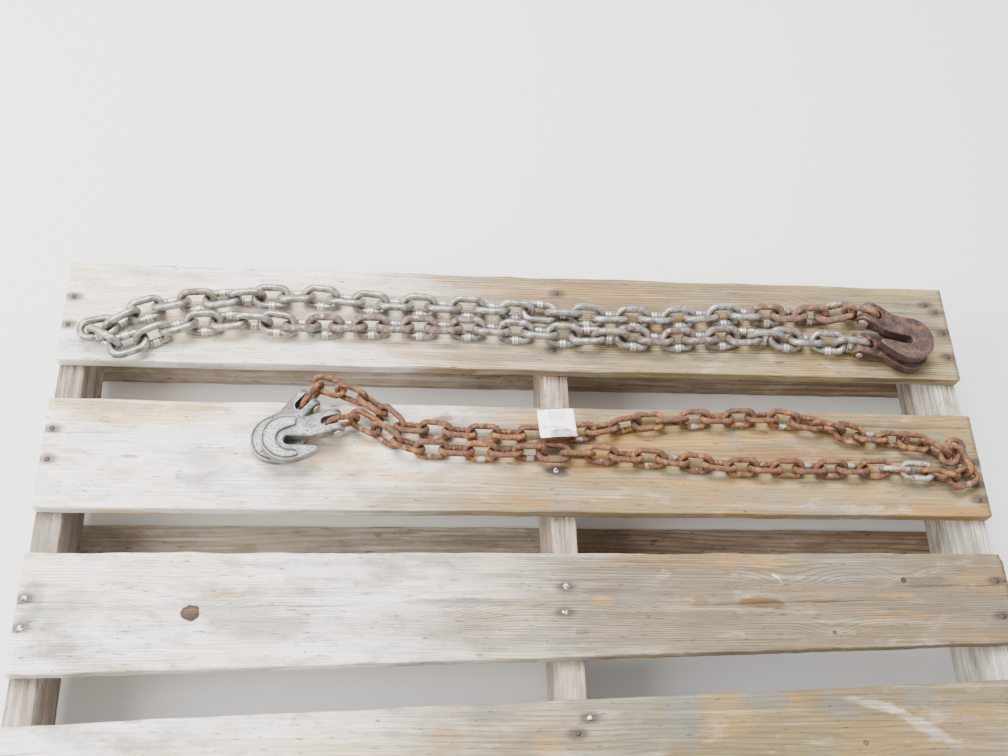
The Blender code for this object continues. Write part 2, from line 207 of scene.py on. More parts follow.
LAMP_AIM = Vector((0, 0, 0.1))
for label, place, size, power in (
    ("sky_lamp", (-0.5, 1.1, 2.5), 1.3, 170.0),
    ("side_lamp", (-2.4, -0.3, 1.9), 1.6, 150.0),
):
    lamp = in_scene(label, bpy.data.lights.new(label, "AREA"))
    lamp.data.energy, lamp.data.size = power, size
    lamp.location = place
    lamp.rotation_euler = (LAMP_AIM - Vector(place)).to_track_quat("-Z", "Y").to_euler()

sky = bpy.data.worlds.new("sky")
sky.use_nodes = True
background = sky.node_tree.nodes["Background"].inputs
background["Color"].default_value = (0.93, 0.96, 1.0, 1.0)
background["Strength"].default_value = 1.0
bpy.context.scene.world = sky


# The deck boards
# Sawn softwood boards, weathered in the open: bleached at the left, browner and darker at the right,
# where the darker tone is partly painted shade for the light falling off, with raised grain, knots,
# splits from the ends and stains round the nails.
def new_piece(name, mesh, nodes, finish=None):
    piece = in_scene(name, mesh)
    if finish:
        mesh.materials.append(finish.material)
    mesh.shade_smooth()
    if nodes:
        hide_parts(*nodes)
    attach(piece, "root")


def wander(value, seed, size):
    """A smooth waver of about -1 to 1, repeating about every size mm."""
    return noise.noise(Vector((value / size, seed * 7.31, 0.0))) * 1.6


def face_outwards(mesh):
    bm = bmesh.new()
    bm.from_mesh(mesh)
    bmesh.ops.recalc_face_normals(bm, faces=bm.faces)
    bm.to_mesh(mesh)
    bm.free()


class Board:
    """A sawn board: u along it, v across it, both in mm from its low corner.

    slants are how far its low and high edges lean over its length, wane is how far in each edge is
    rounded off, and splits are (v, start, stop, depth).
    """

    TOP_EDGE = ((0.0, 1.2), (0.5, 0.35), (1.7, 0.0))  # drop and inset of each point
    LOW_EDGE = ((0.0, 1.6), (0.5, 0.5), (1.6, 0.0))  # inset and rise
    TOP_INSET = 2.0
    GRAIN = ((45.0, 5.5, 0.25, 0), (160.0, 28.0, 0.35, 9))  # length, width, depth and seed of its waves
    WANE_FALL, DEEPEST_WANE = 0.55, 0.3  # as shares of the wane's reach and of the thickness
    SPLIT_HALF, SPLIT_CLEAR, SPLIT_RUN_OUT, SPLIT_BEND = 0.45, 1.6, 40, 1.5
    STAIN_REACH, STAIN_STRETCH = 7.2, 1.8

    def __init__(self, node, seed, along=0, step=(6.0, 2.6), waver=0.8, wane=(0.0, 0.0), splits=(), nails=(),
                 slants=(0.0, 0.0)):
        self.node, self.seed, self.along = node, seed, along
        low, high = (np.array(corner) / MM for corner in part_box(node))
        self.low, self.size = low, high - low
        self.slants = slants
        self.length, self.width = self.size[along], self.size[1 - along] - slants[1]
        self.thick = self.size[2]
        self.step, self.waver, self.wane = step, waver, wane
        self.splits, self.nails = splits, nails

    def rows(self):
        """The rows of points across the top face, with three extra ones at each split."""
        count = round(self.width / self.step[1])
        rows = list(np.linspace(self.TOP_INSET, self.width - self.TOP_INSET, count))
        for middle, *_ in self.splits:
            rows = [row for row in rows if abs(row - middle) > self.SPLIT_CLEAR]
            rows += [middle - self.SPLIT_HALF, middle, middle + self.SPLIT_HALF]
        return sorted(rows)

    def loop(self):
        """One loop round the board: the top face, then down, back along the underside, and up."""
        width, thick = self.width, self.thick
        loop = [("top", row, 0.0) for row in self.rows()]
        loop += [("edge", width - inset, drop) for drop, inset in self.TOP_EDGE]
        loop += [("side", width, thick * share) for share in (0.35, 0.65)]
        loop += [("edge", width - inset, thick - rise) for inset, rise in self.LOW_EDGE]
        loop += [("under", width * share, thick) for share in np.linspace(0.95, 0.05, 14)]
        loop += [("edge", inset, thick - rise) for inset, rise in self.LOW_EDGE[::-1]]
        loop += [("side", 0.0, thick * share) for share in (0.65, 0.35)]
        loop += [("edge", inset, drop) for drop, inset in self.TOP_EDGE[::-1]]
        return loop

    def slant(self, u, v):
        """How far a place lies over to the side because the board's edges slant."""
        share = v / self.width
        return (self.slants[0] * (1 - share) + self.slants[1] * share) * u / self.length

    def stain(self, u, v):
        """How much a nail has darkened the wood at a place."""
        gaps = [math.hypot((u - a) / self.STAIN_STRETCH, v - b) / self.STAIN_REACH for a, b in self.nails]
        return max([math.exp(-gap ** 2) for gap in gaps], default=0.0)

    def inset(self, u, side):
        """How far an edge wavers inwards."""
        slow, quick = abs(wander(u, self.seed + side, 90.0)), abs(wander(u, self.seed + side + 3, 23.0))
        return slow * self.waver + quick * self.waver * 0.35

    def worn(self, u, v, depth):
        """How deep a place on the top lies under raised grain, and where an edge is waney."""
        for length, width, size, more in self.GRAIN:
            depth += size * (noise.noise(Vector((u / length, v / width, self.seed + more))) + 1)
        for side, wane in enumerate(self.wane):
            near = v if side == 0 else self.width - v
            reach = wane * max(0.25, 1 + wander(u, self.seed + 5 + side, 60.0))
            if wane and near < reach:
                depth += (1 - near / reach) ** 1.5 * reach * self.WANE_FALL
        return min(depth, self.thick * self.DEEPEST_WANE)

    def split(self, u, v):
        """How far a split draws a place on the top aside, how far it sinks it, and how much painted shade
        darkens it there.
        """
        for middle, start, stop, deep in self.splits:
            if abs(v - middle) < self.SPLIT_HALF * 2 and start <= u <= stop:
                from_start = (u - start) / self.SPLIT_RUN_OUT + (start <= 0)
                to_stop = (stop - u) / self.SPLIT_RUN_OUT + (stop >= self.length)
                taper = min(1.0, from_start, to_stop)
                aside = wander(u, self.seed + middle, 55.0) * self.SPLIT_BEND * taper
                return (aside, deep * taper, taper) if v == middle else (aside, 0.0, 0.25 * taper)
        return 0.0, 0.0, 0.0

    def end_cut(self, u, v):
        """How far the rough cut end lies inwards along the board."""
        if 1 <= u <= self.length - 1:
            return 0.0
        return (0.5 + 0.5 * abs(wander(v, self.seed + 11 + (u > 1), 9.0))) * (1 if u < 1 else -1)

    def mesh(self):
        loop = self.loop()
        columns = np.linspace(0, self.length, round(self.length / self.step[0]) + 1)
        points, stains, crack_shades = [], [], []
        for u in columns:
            inset = [self.inset(u, side) for side in (0, 1)]
            for kind, v, depth in loop:
                share = v / self.width
                across, crack_shade = v + inset[0] * (1 - share) - inset[1] * share, 0.0
                if kind in ("side", "under"):
                    across += 0.2 * wander(u, self.seed + v + depth, 17.0) * (0.5 - share)
                elif depth < self.thick / 2:
                    depth = self.worn(u, v, depth)
                if kind == "top":
                    aside, sunk, crack_shade = self.split(u, v)
                    across, depth = across + aside, depth + sunk
                across += self.slant(u, across)
                lengthwise = u + self.end_cut(u, v)
                x, y = (across, lengthwise) if self.along else (lengthwise, across)
                z = self.thick - min(depth, self.thick)
                points.append(Vector((self.low[0] + x, self.low[1] + y, self.low[2] + z)) * MM)
                stains.append(self.stain(u, v) if kind in ("top", "edge") else 0.0)
                crack_shades.append(crack_shade)
        count = len(loop)
        last = (len(columns) - 1) * count
        faces = []
        for row in range(0, last, count):
            for a, b in zip(range(row, row + count), [*range(row + 1, row + count), row]):
                faces.append((a, a + count, b + count, b))
        faces += [tuple(range(count)), tuple(range(last + count - 1, last - 1, -1))]
        mesh = bpy.data.meshes.new(self.node)
        mesh.from_pydata(points, [], faces)
        for label, values in (("stain", stains), ("split", crack_shades)):
            mesh.attributes.new(label, "FLOAT", "POINT").data.foreach_set("value", values)
        face_outwards(mesh)
        return mesh


METRE = 1000.0  # in mm, as the widths of rings, knots and marks are


def weathered_wood(name, seed, fresh_and_shaded, bleached, fade, knots=(), marks=(), along=0, orange=0.35, ring=6.0,
                   grey=0.3, lined=1.0):
    """Wood with grain along one axis. It turns from bleached to fresh_and_shaded at fade, in mm along the
    deck;
    the fresh_and_shaded tone is unweathered wood, darkened partly as painted shade.

    ring is a year ring's width, and orange, grey and lined say how strongly those tones and the lines show.
    knots are (x, y, radius, reach of the swirl), and marks (x, y, half length, half width, colour, share)
    with a slope last where they lie askew, all in mm.
    """
    wood = Finish(name, {"Specular IOR Level": 0.2})
    x, y = wood.along(along), wood.along(1 - along)
    own_shift = (seed * 3.1, seed * 1.7, seed * 0.9)

    def grain(lengthwise, across, shift=own_shift, **kind):
        scale = (across, lengthwise, across) if along else (lengthwise, across, across)
        return wood.grain(scale, shift, **kind)

    fibre = grain(16.0, 900.0, roughness=0.6)
    streak = grain(4.0, 120.0, detail=4.0, roughness=0.55)
    dash = grain(70.0, 420.0, detail=2.0)
    ragged = grain(45.0, 170.0, detail=4.0, roughness=0.6) - 0.5
    cloud = grain(3.0, 9.0, (seed * 2.0, 7.0, 1.0))
    blotch = grain(6.0, 22.0, (seed, 2.0, 5.0), detail=4.0, roughness=0.6, warp=0.5)
    stain = grain(8.0, 16.0, (3.0, seed, 2.0), detail=5.0, roughness=0.6)
    mottle = grain(22.0, 55.0, (4.0, seed, 8.0), detail=5.0, roughness=0.62, warp=0.4)

    rings = y * (METRE / ring) + grain(2.0, 8.0, detail=1.0) * 9.0 + grain(14.0, 90.0, detail=2.0) * 0.5
    cores = []
    for knot_x, knot_y, radius, reach in knots:
        centre = on_deck(knot_x, knot_y)
        off_x, off_y = (x - centre.x) * METRE, (y - centre.y) * METRE
        far = off_x * off_x * (1 / (reach * 2.6) ** 2) + off_y * off_y * (1 / reach ** 2)
        rings = rings + wood.math("EXPONENT", far * -1.0) * (reach / ring * 0.9)
        if radius:
            gap = wood.math("SQRT", off_x * off_x * 0.8 + off_y * off_y)
            gap = gap + (grain(160.0, 160.0) - 0.5) * radius * 0.5
            heart = wood.between(gap, radius * 1.12, radius * 0.9)
            cores.append((heart, heart * wood.between(gap, radius * 0.55, radius * 0.95)))
    saw = wood.math("FRACT", rings)
    late = wood.between(saw, 0.45, 0.90) * wood.between(saw, 1.0, 0.95)
    late = late * wood.between(grain(4.0, 30.0), 0.36, 0.60, 0.25, 1.0)

    turn = on_deck(fade, 0).x
    weather = wood.between(x + (cloud - 0.5) * 0.6, turn + 0.25, turn - 0.25)
    warm = wood.mix(weather, (0.35, 0.19, 0.06), (0.78, 0.57, 0.36))
    # The fresh_and_shaded tone at the right is partly painted shade, darker where the light falls off.
    tone = wood.layers(
        wood.mix(weather, fresh_and_shaded, bleached),
        (blotch, 0.47, 0.62, orange, warm),
        (stain, 0.48, 0.64, grey, (0.22, 0.21, 0.165)),
        (mottle, 0.50, 0.64, grey * 0.5 + 0.1, (0.17, 0.14, 0.095)),
        (mottle, 0.46, 0.32, 0.24, (0.72, 0.62, 0.47)),
    )
    for mark_x, mark_y, half_long, half_wide, colour, share, *slope in marks:
        centre = on_deck(mark_x, mark_y)
        off_x, off_y = x - centre.x, y - centre.y
        off_x, off_y = off_x * (METRE / half_long), (off_y - off_x * sum(slope)) * (METRE / half_wide)
        gap = wood.math("SQRT", off_x * off_x + off_y * off_y) + ragged * 2.2
        tone = wood.layers(tone, (gap, 1.25, 0.65, share, colour))
    faint = wood.between(weather, 0.0, 1.0, lined, lined * 0.32)
    tone = wood.layers(
        wood.mix(late * faint * 0.72, tone, (0.12, 0.075, 0.036)),
        (streak, 0.48, 0.64, faint * 0.6, (0.17, 0.125, 0.085)),
        (streak, 0.46, 0.3, wood.between(weather, 0.0, 1.0, 0.12, 0.4), (0.88, 0.84, 0.76)),
        (fibre, 0.5, 0.66, faint * 0.6, (0.12, 0.09, 0.065)),
        (dash, 0.66, 0.72, 0.7, (0.07, 0.05, 0.04)),
    )
    if cores:
        heart, rim = (sum(shares[1:], shares[0]) for shares in zip(*cores))
        heart_tone = wood.mix(wood.between(blotch, 0.4, 0.6), (0.06, 0.04, 0.027), (0.13, 0.088, 0.058))
        tone = wood.mix(rim * 0.85, wood.mix(heart, tone, heart_tone), (0.055, 0.035, 0.027))
    tone = wood.layers(
        tone,
        (wood.attribute("stain") + ragged * 0.3, 0.2, 0.8, 0.8, (0.06, 0.048, 0.046)),
        # Painted shade down inside the splits.
        (wood.attribute("split"), 0.15, 0.9, 0.9, (0.03, 0.02, 0.015)),
    )
    wood.set("Base Color", tone)
    wood.set("Roughness", wood.between(fibre, 0.3, 0.7, 0.74, 0.95))
    height = late * 0.4 - wood.between(fibre, 0.45, 0.7) * 0.5 - wood.between(streak, 0.5, 0.75) * 0.4
    wood.relief(height, 0.0006)
    return wood


TONGUE, RUSSET, BROWN = (0.42, 0.235, 0.075), (0.24, 0.11, 0.048), (0.13, 0.07, 0.028)
SMOKE, SOOT, CHALK = (0.165, 0.165, 0.145), (0.07, 0.052, 0.045), (0.74, 0.71, 0.63)
PALE = (0.93, 0.87, 0.78)
NAILS = (  # for each board, their places along it and across it
    ((9.1, 79.0), (7.5, 43.5), (539.6, 26.1), (535.0, 82.7), (546.0, 101.7), (992.3, 100.0), (1003.0, 90.6),
     (1007.5, 62.0), (1006.4, 29.7)),
    ((8.2, 87.8), (8.1, 52.9), (534.4, 48.2), (1006.9, 63.5), (1006.0, 38.2), (1005.2, 19.2)),
    ((7.4, 75.3), (8.1, 45.9), (538.2, 81.9), (535.7, 51.7), (1003.5, 84.0), (1001.5, 36.0)),
    ((9.0, 88.0), (12.0, 35.0), (554.5, 104.2), (541.9, 90.6), (1003.0, 92.0), (1000.0, 30.0)),
)
deck = (
    Board("deck_board_1", 1.0, waver=0.9, wane=(0.0, 2.5), nails=NAILS[0],
          splits=((66.0, 938.0, 1016.0, 2.2),)),
    Board("deck_board_2", 2.0, waver=0.9, wane=(0.0, 3.0), nails=NAILS[1],
          splits=((106.0, 846.0, 1016.0, 3.0), (64.5, 800.0, 985.0, 2.0), (84.0, 0.0, 96.0, 1.6))),
    Board("deck_board_3", 3.0, waver=2.0, wane=(1.5, 9.0), nails=NAILS[2], slants=(29.0, 4.0),
          splits=((77.0, 880.0, 1016.0, 3.6), (59.0, 660.0, 860.0, 1.6), (70.5, 0.0, 110.0, 1.5),
                  (63.5, 195.0, 350.0, 1.2), (89.0, 505.0, 600.0, 1.5), (112.0, 580.0, 690.0, 2.5))),
    Board("deck_board_4", 4.0, waver=1.2, wane=(0.0, 3.5), nails=NAILS[3], slants=(38.0, 38.0),
          splits=((97.0, 0.0, 70.0, 1.6), (40.0, 930.0, 1016.0, 2.4))),
)
# Each board's fresh_and_shaded tone is darkened partly as painted shade for the light falling off to the
# right.
deck_wood = (
    weathered_wood(
        "board_1_wood", 1.0, (0.34, 0.26, 0.125), PALE, 390, orange=0.6, grey=0.35, ring=3.2,
        knots=((318, -89, 0, 8), (860, -30, 0, 14)),
        marks=((801, -106, 6, 1.6, SOOT, 0.8), (240, -104, 7, 2, BROWN, 0.5), (960, -60, 45, 30, SMOKE, 0.3),
               (560, -101, 26, 4, SMOKE, 0.6)),
    ),
    weathered_wood(
        "board_2_wood", 2.0, (0.28, 0.20, 0.09), PALE, 370, orange=1.0, grey=0.5, ring=4.6, lined=0.5,
        knots=((415, -185, 0, 18), (700, -268, 0, 14)),
        marks=((415, -184, 14, 5, SOOT, 0.75), (536, -246, 14, 7, SOOT, 0.85),
               (310, -181, 60, 7, TONGUE, 0.6), (150, -178, 40, 5, TONGUE, 0.5),
               (770, -220, 105, 6.5, RUSSET, 0.65), (676, -207, 70, 7, TONGUE, 0.8),
               (715, -258, 75, 6, TONGUE, 0.6), (845, -266, 60, 7, TONGUE, 0.45),
               (735, -202, 7, 16, SMOKE, 0.45), (905, -183, 60, 5, BROWN, 0.45),
               (960, -240, 45, 30, SMOKE, 0.4), (90, -235, 7, 2, BROWN, 0.6),
               (500, -182, 40, 6, TONGUE, 0.5)),
    ),
    weathered_wood(
        "board_3_wood", 3.0, (0.20, 0.16, 0.10), PALE, 430, orange=0.55, grey=0.6, ring=3.0,
        knots=((165.6, -400, 8.0, 20), (778, -370, 0, 17), (650, -395, 0, 16), (400, -400, 0, 20),
               (815, -420, 2.0, 12), (900, -364, 3.0, 14)),
        marks=((740, -345, 46, 8, TONGUE, 0.85), (741, -389, 24, 6.5, BROWN, 0.95),
               (763, -363, 5, 2.5, CHALK, 0.7, -0.6), (677, -389, 10, 7, BROWN, 0.4),
               (727, -352, 9, 11, SMOKE, 0.5), (430, -389, 60, 5, SOOT, 0.5), (575, -377, 38, 4, SOOT, 0.6),
               (555, -419, 10, 3, SOOT, 0.6), (573, -388, 12, 6, TONGUE, 0.7),
               (344, -369, 24, 7, BROWN, 0.35), (195, -383, 22, 6, TONGUE, 0.45),
               (14, -390, 13, 22, SMOKE, 0.55), (620, -380, 26, 24, SMOKE, 0.35),
               (888, -382, 16, 5, TONGUE, 0.5), (640, -402, 90, 3, BROWN, 0.4),
               (925, -366, 24, 6, SOOT, 0.5), (970, -400, 50, 20, SMOKE, 0.3)),
    ),
    weathered_wood(
        "board_4_wood", 4.0, (0.20, 0.155, 0.07), PALE, 330, orange=0.45, grey=0.65, ring=5.5, lined=0.65,
        knots=((808, -569, 4.0, 26), (829, -530, 2.5, 12), (560, -560, 0, 22)),
        marks=((646, -500, 22, 34, SMOKE, 0.8), (731, -488, 26, 10, SMOKE, 0.7),
               (807, -494, 20, 15, SMOKE, 0.7), (892, -482, 18, 14, SMOKE, 0.7),
               (457, -498, 26, 12, SMOKE, 0.6), (600, -522, 24, 26, SMOKE, 0.55),
               (848, -494, 28, 5.0, CHALK, 0.4, -0.22), (892, -515, 36, 7.0, CHALK, 0.36, -0.56),
               (412, -521, 16, 14, TONGUE, 0.5), (512, -531, 14, 14, TONGUE, 0.5),
               (690, -505, 26, 22, TONGUE, 0.35), (120, -500, 12, 5, BROWN, 0.5)),
    ),
)
for board, wood in zip(deck, deck_wood):
    new_piece(board.node + "_wood", board.mesh(), [board.node], wood)


# The frame under the deck
# Three sawn stringers on edge, and three boards across their undersides. They are rougher, greyer
# and darker than the deck.
POST_TONES = {"left": (0.26, 0.225, 0.19), "middle": (0.44, 0.345, 0.28), "right": (0.56, 0.52, 0.46)}
for seed, (side, post_tone) in enumerate(POST_TONES.items()):
    stringer = Board(f"stringer_{side}", 20.0 + seed, along=1, step=(8.0, 2.8), waver=0.6,
                     splits=((8.0, 0.0, 120.0, 2.0), (18.0, 470.0, 629.0, 2.0)))
    post_wood = weathered_wood(f"stringer_{side}_wood", 6.0 + seed, post_tone, post_tone, 500, along=1,
                               orange=0.1, grey=0.6, ring=4.5)
    new_piece(stringer.node + "_wood", stringer.mesh(), [stringer.node], post_wood)
under_wood = weathered_wood("bottom_board_wood", 8.0, (0.33, 0.25, 0.175), (0.40, 0.335, 0.27), 500,
                            orange=0.2, grey=0.6)
for seed, side in enumerate(("near", "middle", "far")):
    board = Board(f"bottom_board_{side}", 30.0 + seed, step=(8.0, 4.0), waver=1.2, wane=(2.0, 2.0))
    new_piece(board.node + "_wood", board.mesh(), [board.node], under_wood)


# The nails
# Flat-headed wire nails driven through the deck boards into the stringers, a little below the
# surface, rusted dark with the odd worn bright head.
def repeating(name, sizes):
    """A geometry tree with an input for each size. Returns its net, its points and those inputs."""
    tree = bpy.data.node_groups.new(name, "GeometryNodeTree")
    tree.interface.new_socket("Geometry", in_out="INPUT", socket_type="NodeSocketGeometry")
    for label, value in sizes.items():
        socket = tree.interface.new_socket(label, in_out="INPUT", socket_type="NodeSocketFloat")
        socket.default_value = value
    tree.interface.new_socket("Material", in_out="INPUT", socket_type="NodeSocketMaterial")
    tree.interface.new_socket("Geometry", in_out="OUTPUT", socket_type="NodeSocketGeometry")
    net = Net(tree)
    given = tree.nodes.new("NodeGroupInput")
    return net, {label: Value(net, given.outputs[label]) for label in ("Geometry", "Material", *sizes)}


def repeat_at_points(net, values, shape):
    """Ends the tree: the shape at each point, turned and stretched as its attributes say."""
    turn, stretch = (
        net.node("GeometryNodeInputNamedAttribute", {"data_type": "FLOAT_VECTOR"}, {"Name": label})
        for label in ("turn", "stretch")
    )
    copies = net.node(
        "GeometryNodeInstanceOnPoints", {},
        {"Points": values["Geometry"], "Instance": shape, "Scale": stretch,
         "Rotation": net.node("FunctionNodeEulerToRotation", {}, {"Euler": turn})},
    )
    real = net.node("GeometryNodeRealizeInstances", {}, {"Geometry": copies})
    dressed = net.node("GeometryNodeSetMaterial", {}, {"Geometry": real, "Material": values["Material"]})
    end = net.tree.nodes.new("NodeGroupOutput")
    net.tree.links.new(dressed.socket, end.inputs["Geometry"])
    return net.tree


def repeated(name, tree, places, finish, sizes, **marks):
    """A plain mesh of the tree's shape at each place, a matrix in metres. marks give each a number."""
    mesh = bpy.data.meshes.new(name + "_places")
    mesh.from_pydata([place.translation for place in places], [], [])
    vectors = {
        "turn": [value for place in places for value in place.to_euler("XYZ")],
        "stretch": [value for place in places for value in place.to_scale()],
    }
    for label, values in vectors.items():
        mesh.attributes.new(label, "FLOAT_VECTOR", "POINT").data.foreach_set("vector", values)
    for label, values in marks.items():
        mesh.attributes.new(label, "FLOAT", "POINT").data.foreach_set("value", values)
    holder = in_scene(name + "_places", mesh)
    modifier = holder.modifiers.new("repeat", "NODES")
    modifier.node_group = tree
    for item in tree.interface.items_tree:
        if item.in_out == "INPUT" and item.name in sizes:
            modifier[item.identifier] = sizes[item.name]
        elif item.in_out == "INPUT" and item.name == "Material":
            modifier[item.identifier] = finish.material
    made = bpy.data.meshes.new_from_object(holder.evaluated_get(bpy.context.evaluated_depsgraph_get()))
    made.name = name
    bpy.data.objects.remove(holder)
    face_outwards(made)
    return made


nail_net, nail = repeating(
    "nail_heads", {"Head Radius": 2.8 * MM, "Head Thickness": 1.5 * MM, "Dome": 0.5 * MM}
)
disc = nail_net.node(
    "GeometryNodeMeshCylinder", {},
    {"Vertices": 20, "Side Segments": 2, "Fill Segments": 3, "Radius": nail["Head Radius"],
     "Depth": nail["Head Thickness"]},
)
nail_place = nail_net.node("GeometryNodeInputPosition")
nail_x, nail_y, nail_z = (nail_net.part(axis, nail_place) for axis in range(3))
from_middle = (nail_x * nail_x + nail_y * nail_y) / (nail["Head Radius"] * nail["Head Radius"])
lift = (1.0 - from_middle) * nail["Dome"] * nail_net.math("GREATER_THAN", nail_z, 0.0)
domed = nail_net.node(
    "GeometryNodeSetPosition", {},
    {"Geometry": disc, "Offset": nail_net.node("ShaderNodeCombineXYZ", {}, {"Z": lift})},
)
nail_tree = repeat_at_points(nail_net, nail, domed)

nail_steel = Finish("nail_steel", {"Metallic": 0.3})
crust = nail_steel.grain(420.0, detail=4.0)
dark = nail_steel.mix(crust, (0.025, 0.02, 0.018), (0.10, 0.065, 0.05))
nail_tone = nail_steel.layers(dark, (crust, 0.62, 0.44, nail_steel.attribute("bright"), (0.80, 0.77, 0.72)))
nail_steel.set("Base Color", nail_tone)
nail_steel.set("Roughness", nail_steel.between(crust, 0.3, 0.7, 0.42, 0.85))
nail_steel.relief(crust, 0.0004)
# Nails with a worn head, by the board's number and the nail's place in its row of NAILS.
BRIGHT_NAILS = {("1", 3), ("2", 2), ("3", 0), ("3", 1), ("3", 2), ("3", 3), ("4", 2)}
NAIL_SINK, TILT_X, TILT_Y = 1.0, 0.12, 0.1
nail_places, bright = [], []
for board, nails in zip(deck, NAILS):
    for number, (u, v) in enumerate(nails):
        tilt = Matrix.Rotation(TILT_X * wander(u + v, 1, 5.0), 4, "X")
        tilt = tilt @ Matrix.Rotation(TILT_Y * wander(v, 2, 5.0), 4, "Y")
        place = Vector((u, v + board.slant(u, v), board.thick - NAIL_SINK)) + Vector(board.low)
        nail_places.append(Matrix.Translation(place * MM) @ tilt)
        bright.append(float((board.node[-1], number) in BRIGHT_NAILS))
nail_mesh = repeated("nail_heads", nail_tree, nail_places, nail_steel, {}, bright=bright)
new_piece("nail_heads", nail_mesh, [])


# The upper chain
# Short-link chain of 8 mm galvanised wire, each link bent round and welded in the middle of one
# rail. It lies folded double, with every other link turned a quarter round, and rust coming through.
def pivots(stations):
    """Places where neighbouring links meet, from stations (x, y, z, links since the station before)."""
    places = [Vector(stations[0][:3])]
    for x, y, z, count in stations[1:]:
        begin, end = places[-1].copy(), Vector((x, y, z))
        places += [begin.lerp(end, (i + 1) / count) for i in range(count)]
    return places


def rolls_of(count, first, twists):
    """Rolls in degrees: 45 either way in turn, plus the lay's slow twist, given as (link, degrees) keys."""
    keys, values = zip(*twists)
    return [first * (-1) ** i + float(np.interp(i, keys, values)) for i in range(count)]


class Chain:
    """A chain's sizes in mm, and how its links lie from pivot to pivot."""

    AIR = 0.12
    SHARP_TURN = math.radians(30)
    UPRIGHT = 0.9

    def __init__(self, inner_length, inner_width, wire, swell):
        self.inner_length, self.inner_width, self.wire, self.swell = inner_length, inner_width, wire, swell
        self.radius = (inner_width + wire) / 2
        self.tip = (inner_length + wire) / 2

    def sizes(self):
        return {"Inner Length": self.inner_length * MM, "Inner Width": self.inner_width * MM,
                "Wire": self.wire * MM, "Weld Swell": self.swell}

    def rest_height(self, roll):
        return self.radius * abs(math.sin(math.radians(roll))) + self.wire / 2 + self.AIR

    def settled(self, places, rolls):
        """The same pivots, raised where a link would sink into the deck."""
        raised = []
        for i, place in enumerate(places):
            lowest = max(self.rest_height(roll) for roll in rolls[max(0, i - 1): i + 1])
            raised.append(Vector((place.x, place.y, max(place.z, lowest))))
        return raised

    def reach(self, places, rolls, i):
        """How far links i - 1 and i go past the pivot between them."""
        apart = self.wire + self.AIR
        if 0 < i < len(places) - 1:
            turn = (places[i] - places[i - 1]).angle(places[i + 1] - places[i])
            upright = [abs(math.sin(math.radians(roll))) > self.UPRIGHT for roll in rolls[i - 1: i + 1]]
            if turn > self.SHARP_TURN and upright[0] != upright[1]:
                # An upright link swivels at the middle of the flat link's bow.
                past = apart - self.radius, self.radius
                return past if upright[0] else past[::-1]
        return apart / 2, apart / 2

    def lie(self, places, rolls):
        """A matrix in metres for each link, stretched a little only where its pivots are too far apart."""
        places = self.settled(places, rolls)
        reach = [self.reach(places, rolls, i) for i in range(len(places))]
        links = []
        for i, roll in enumerate(rolls):
            heading = (places[i + 1] - places[i]).normalized()
            start = places[i] - heading * reach[i][1]
            end = places[i + 1] + heading * reach[i + 1][0]
            links.append(self.link(start, end, roll, max(1.0, (end - start).length / 2 / self.tip)))
        return links

    def link(self, start, end, roll, stretch=1.0):
        """A link's matrix, its welded rail lowest."""
        along = (end - start).normalized()
        flat_side = Vector((0, 0, 1)).cross(along).normalized()
        turn = math.radians(roll)
        across = math.cos(turn) * flat_side + math.sin(turn) * along.cross(flat_side)
        if across.z > 0:
            across = -across
        turned = Matrix((along, across, along.cross(across))).transposed().to_4x4()
        middle = Matrix.Translation(on_deck(*((start + end) / 2)))
        return middle @ turned @ Matrix.Diagonal((stretch, 1, 1, 1))


link_net, link = repeating(
    "chain_links", {"Inner Length": 28 * MM, "Inner Width": 12 * MM, "Wire": 8 * MM, "Weld Swell": 0.1}
)
bow_radius = (link["Inner Width"] + link["Wire"]) / 2.0
half_rail = (link["Inner Length"] - link["Inner Width"]) / 2.0
ring = link_net.node("GeometryNodeCurvePrimitiveCircle", {}, {"Resolution": 40, "Radius": bow_radius})
here = link_net.node("GeometryNodeInputPosition")
here_x, here_y = (link_net.part(axis, here) for axis in range(2))
end = link_net.math("SIGN", link_net.math("SNAP", here_x, 1e-5))
drawn = link_net.node(
    "GeometryNodeSetPosition", {},
    {"Geometry": ring, "Offset": link_net.node("ShaderNodeCombineXYZ", {}, {"X": end * half_rail})},
)
ROUND_LINK, ROUND_WIRE = 92, 14
even = link_net.node("GeometryNodeResampleCurve", {}, {"Curve": drawn, "Count": ROUND_LINK})
# The weld: a low collar round the joint and a burr on either side. Its measures are in wire thicknesses.
COLLAR_REACH, COLLAR_SHARE, BURR_OFF, BURR_REACH = 0.3, 0.35, 0.25, 0.085
off_weld = link_net.math("ABSOLUTE", here_x) / link["Wire"]
off_collar = off_weld / COLLAR_REACH
collar = link_net.math("EXPONENT", off_collar * off_collar * -1.0) * COLLAR_SHARE
off_burr = (off_weld - BURR_OFF) / BURR_REACH
weld = collar + link_net.math("EXPONENT", off_burr * off_burr * -1.0)
weld = weld * link_net.math("GREATER_THAN", here_y, 0.0)
wire_round = link_net.node(
    "GeometryNodeCurvePrimitiveCircle", {}, {"Resolution": ROUND_WIRE, "Radius": link["Wire"] / 2.0}
)
bent = link_net.node(
    "GeometryNodeCurveToMesh", {},
    {"Curve": even, "Profile Curve": wire_round, "Scale": weld * link["Weld Swell"] + 1.0},
)
bent = link_net.node(
    "GeometryNodeStoreNamedAttribute", {"data_type": "FLOAT_VECTOR", "domain": "POINT"},
    {"Geometry": bent, "Name": "on_link", "Value": here},
)
link_tree = repeat_at_points(link_net, link, bent)


def pitted(mesh, depth, size, seed):
    """Lifts and sinks the surface by up to depth mm, in patches of about size mm."""
    normals = [vertex.normal.copy() for vertex in mesh.vertices]
    for vertex, normal in zip(mesh.vertices, normals):
        place = vertex.co / (size * MM) + Vector((seed, 0, 0))
        rough = noise.noise(place) + 0.5 * noise.noise(place * 2.3)
        vertex.co += normal * (rough * depth * MM)
    return mesh


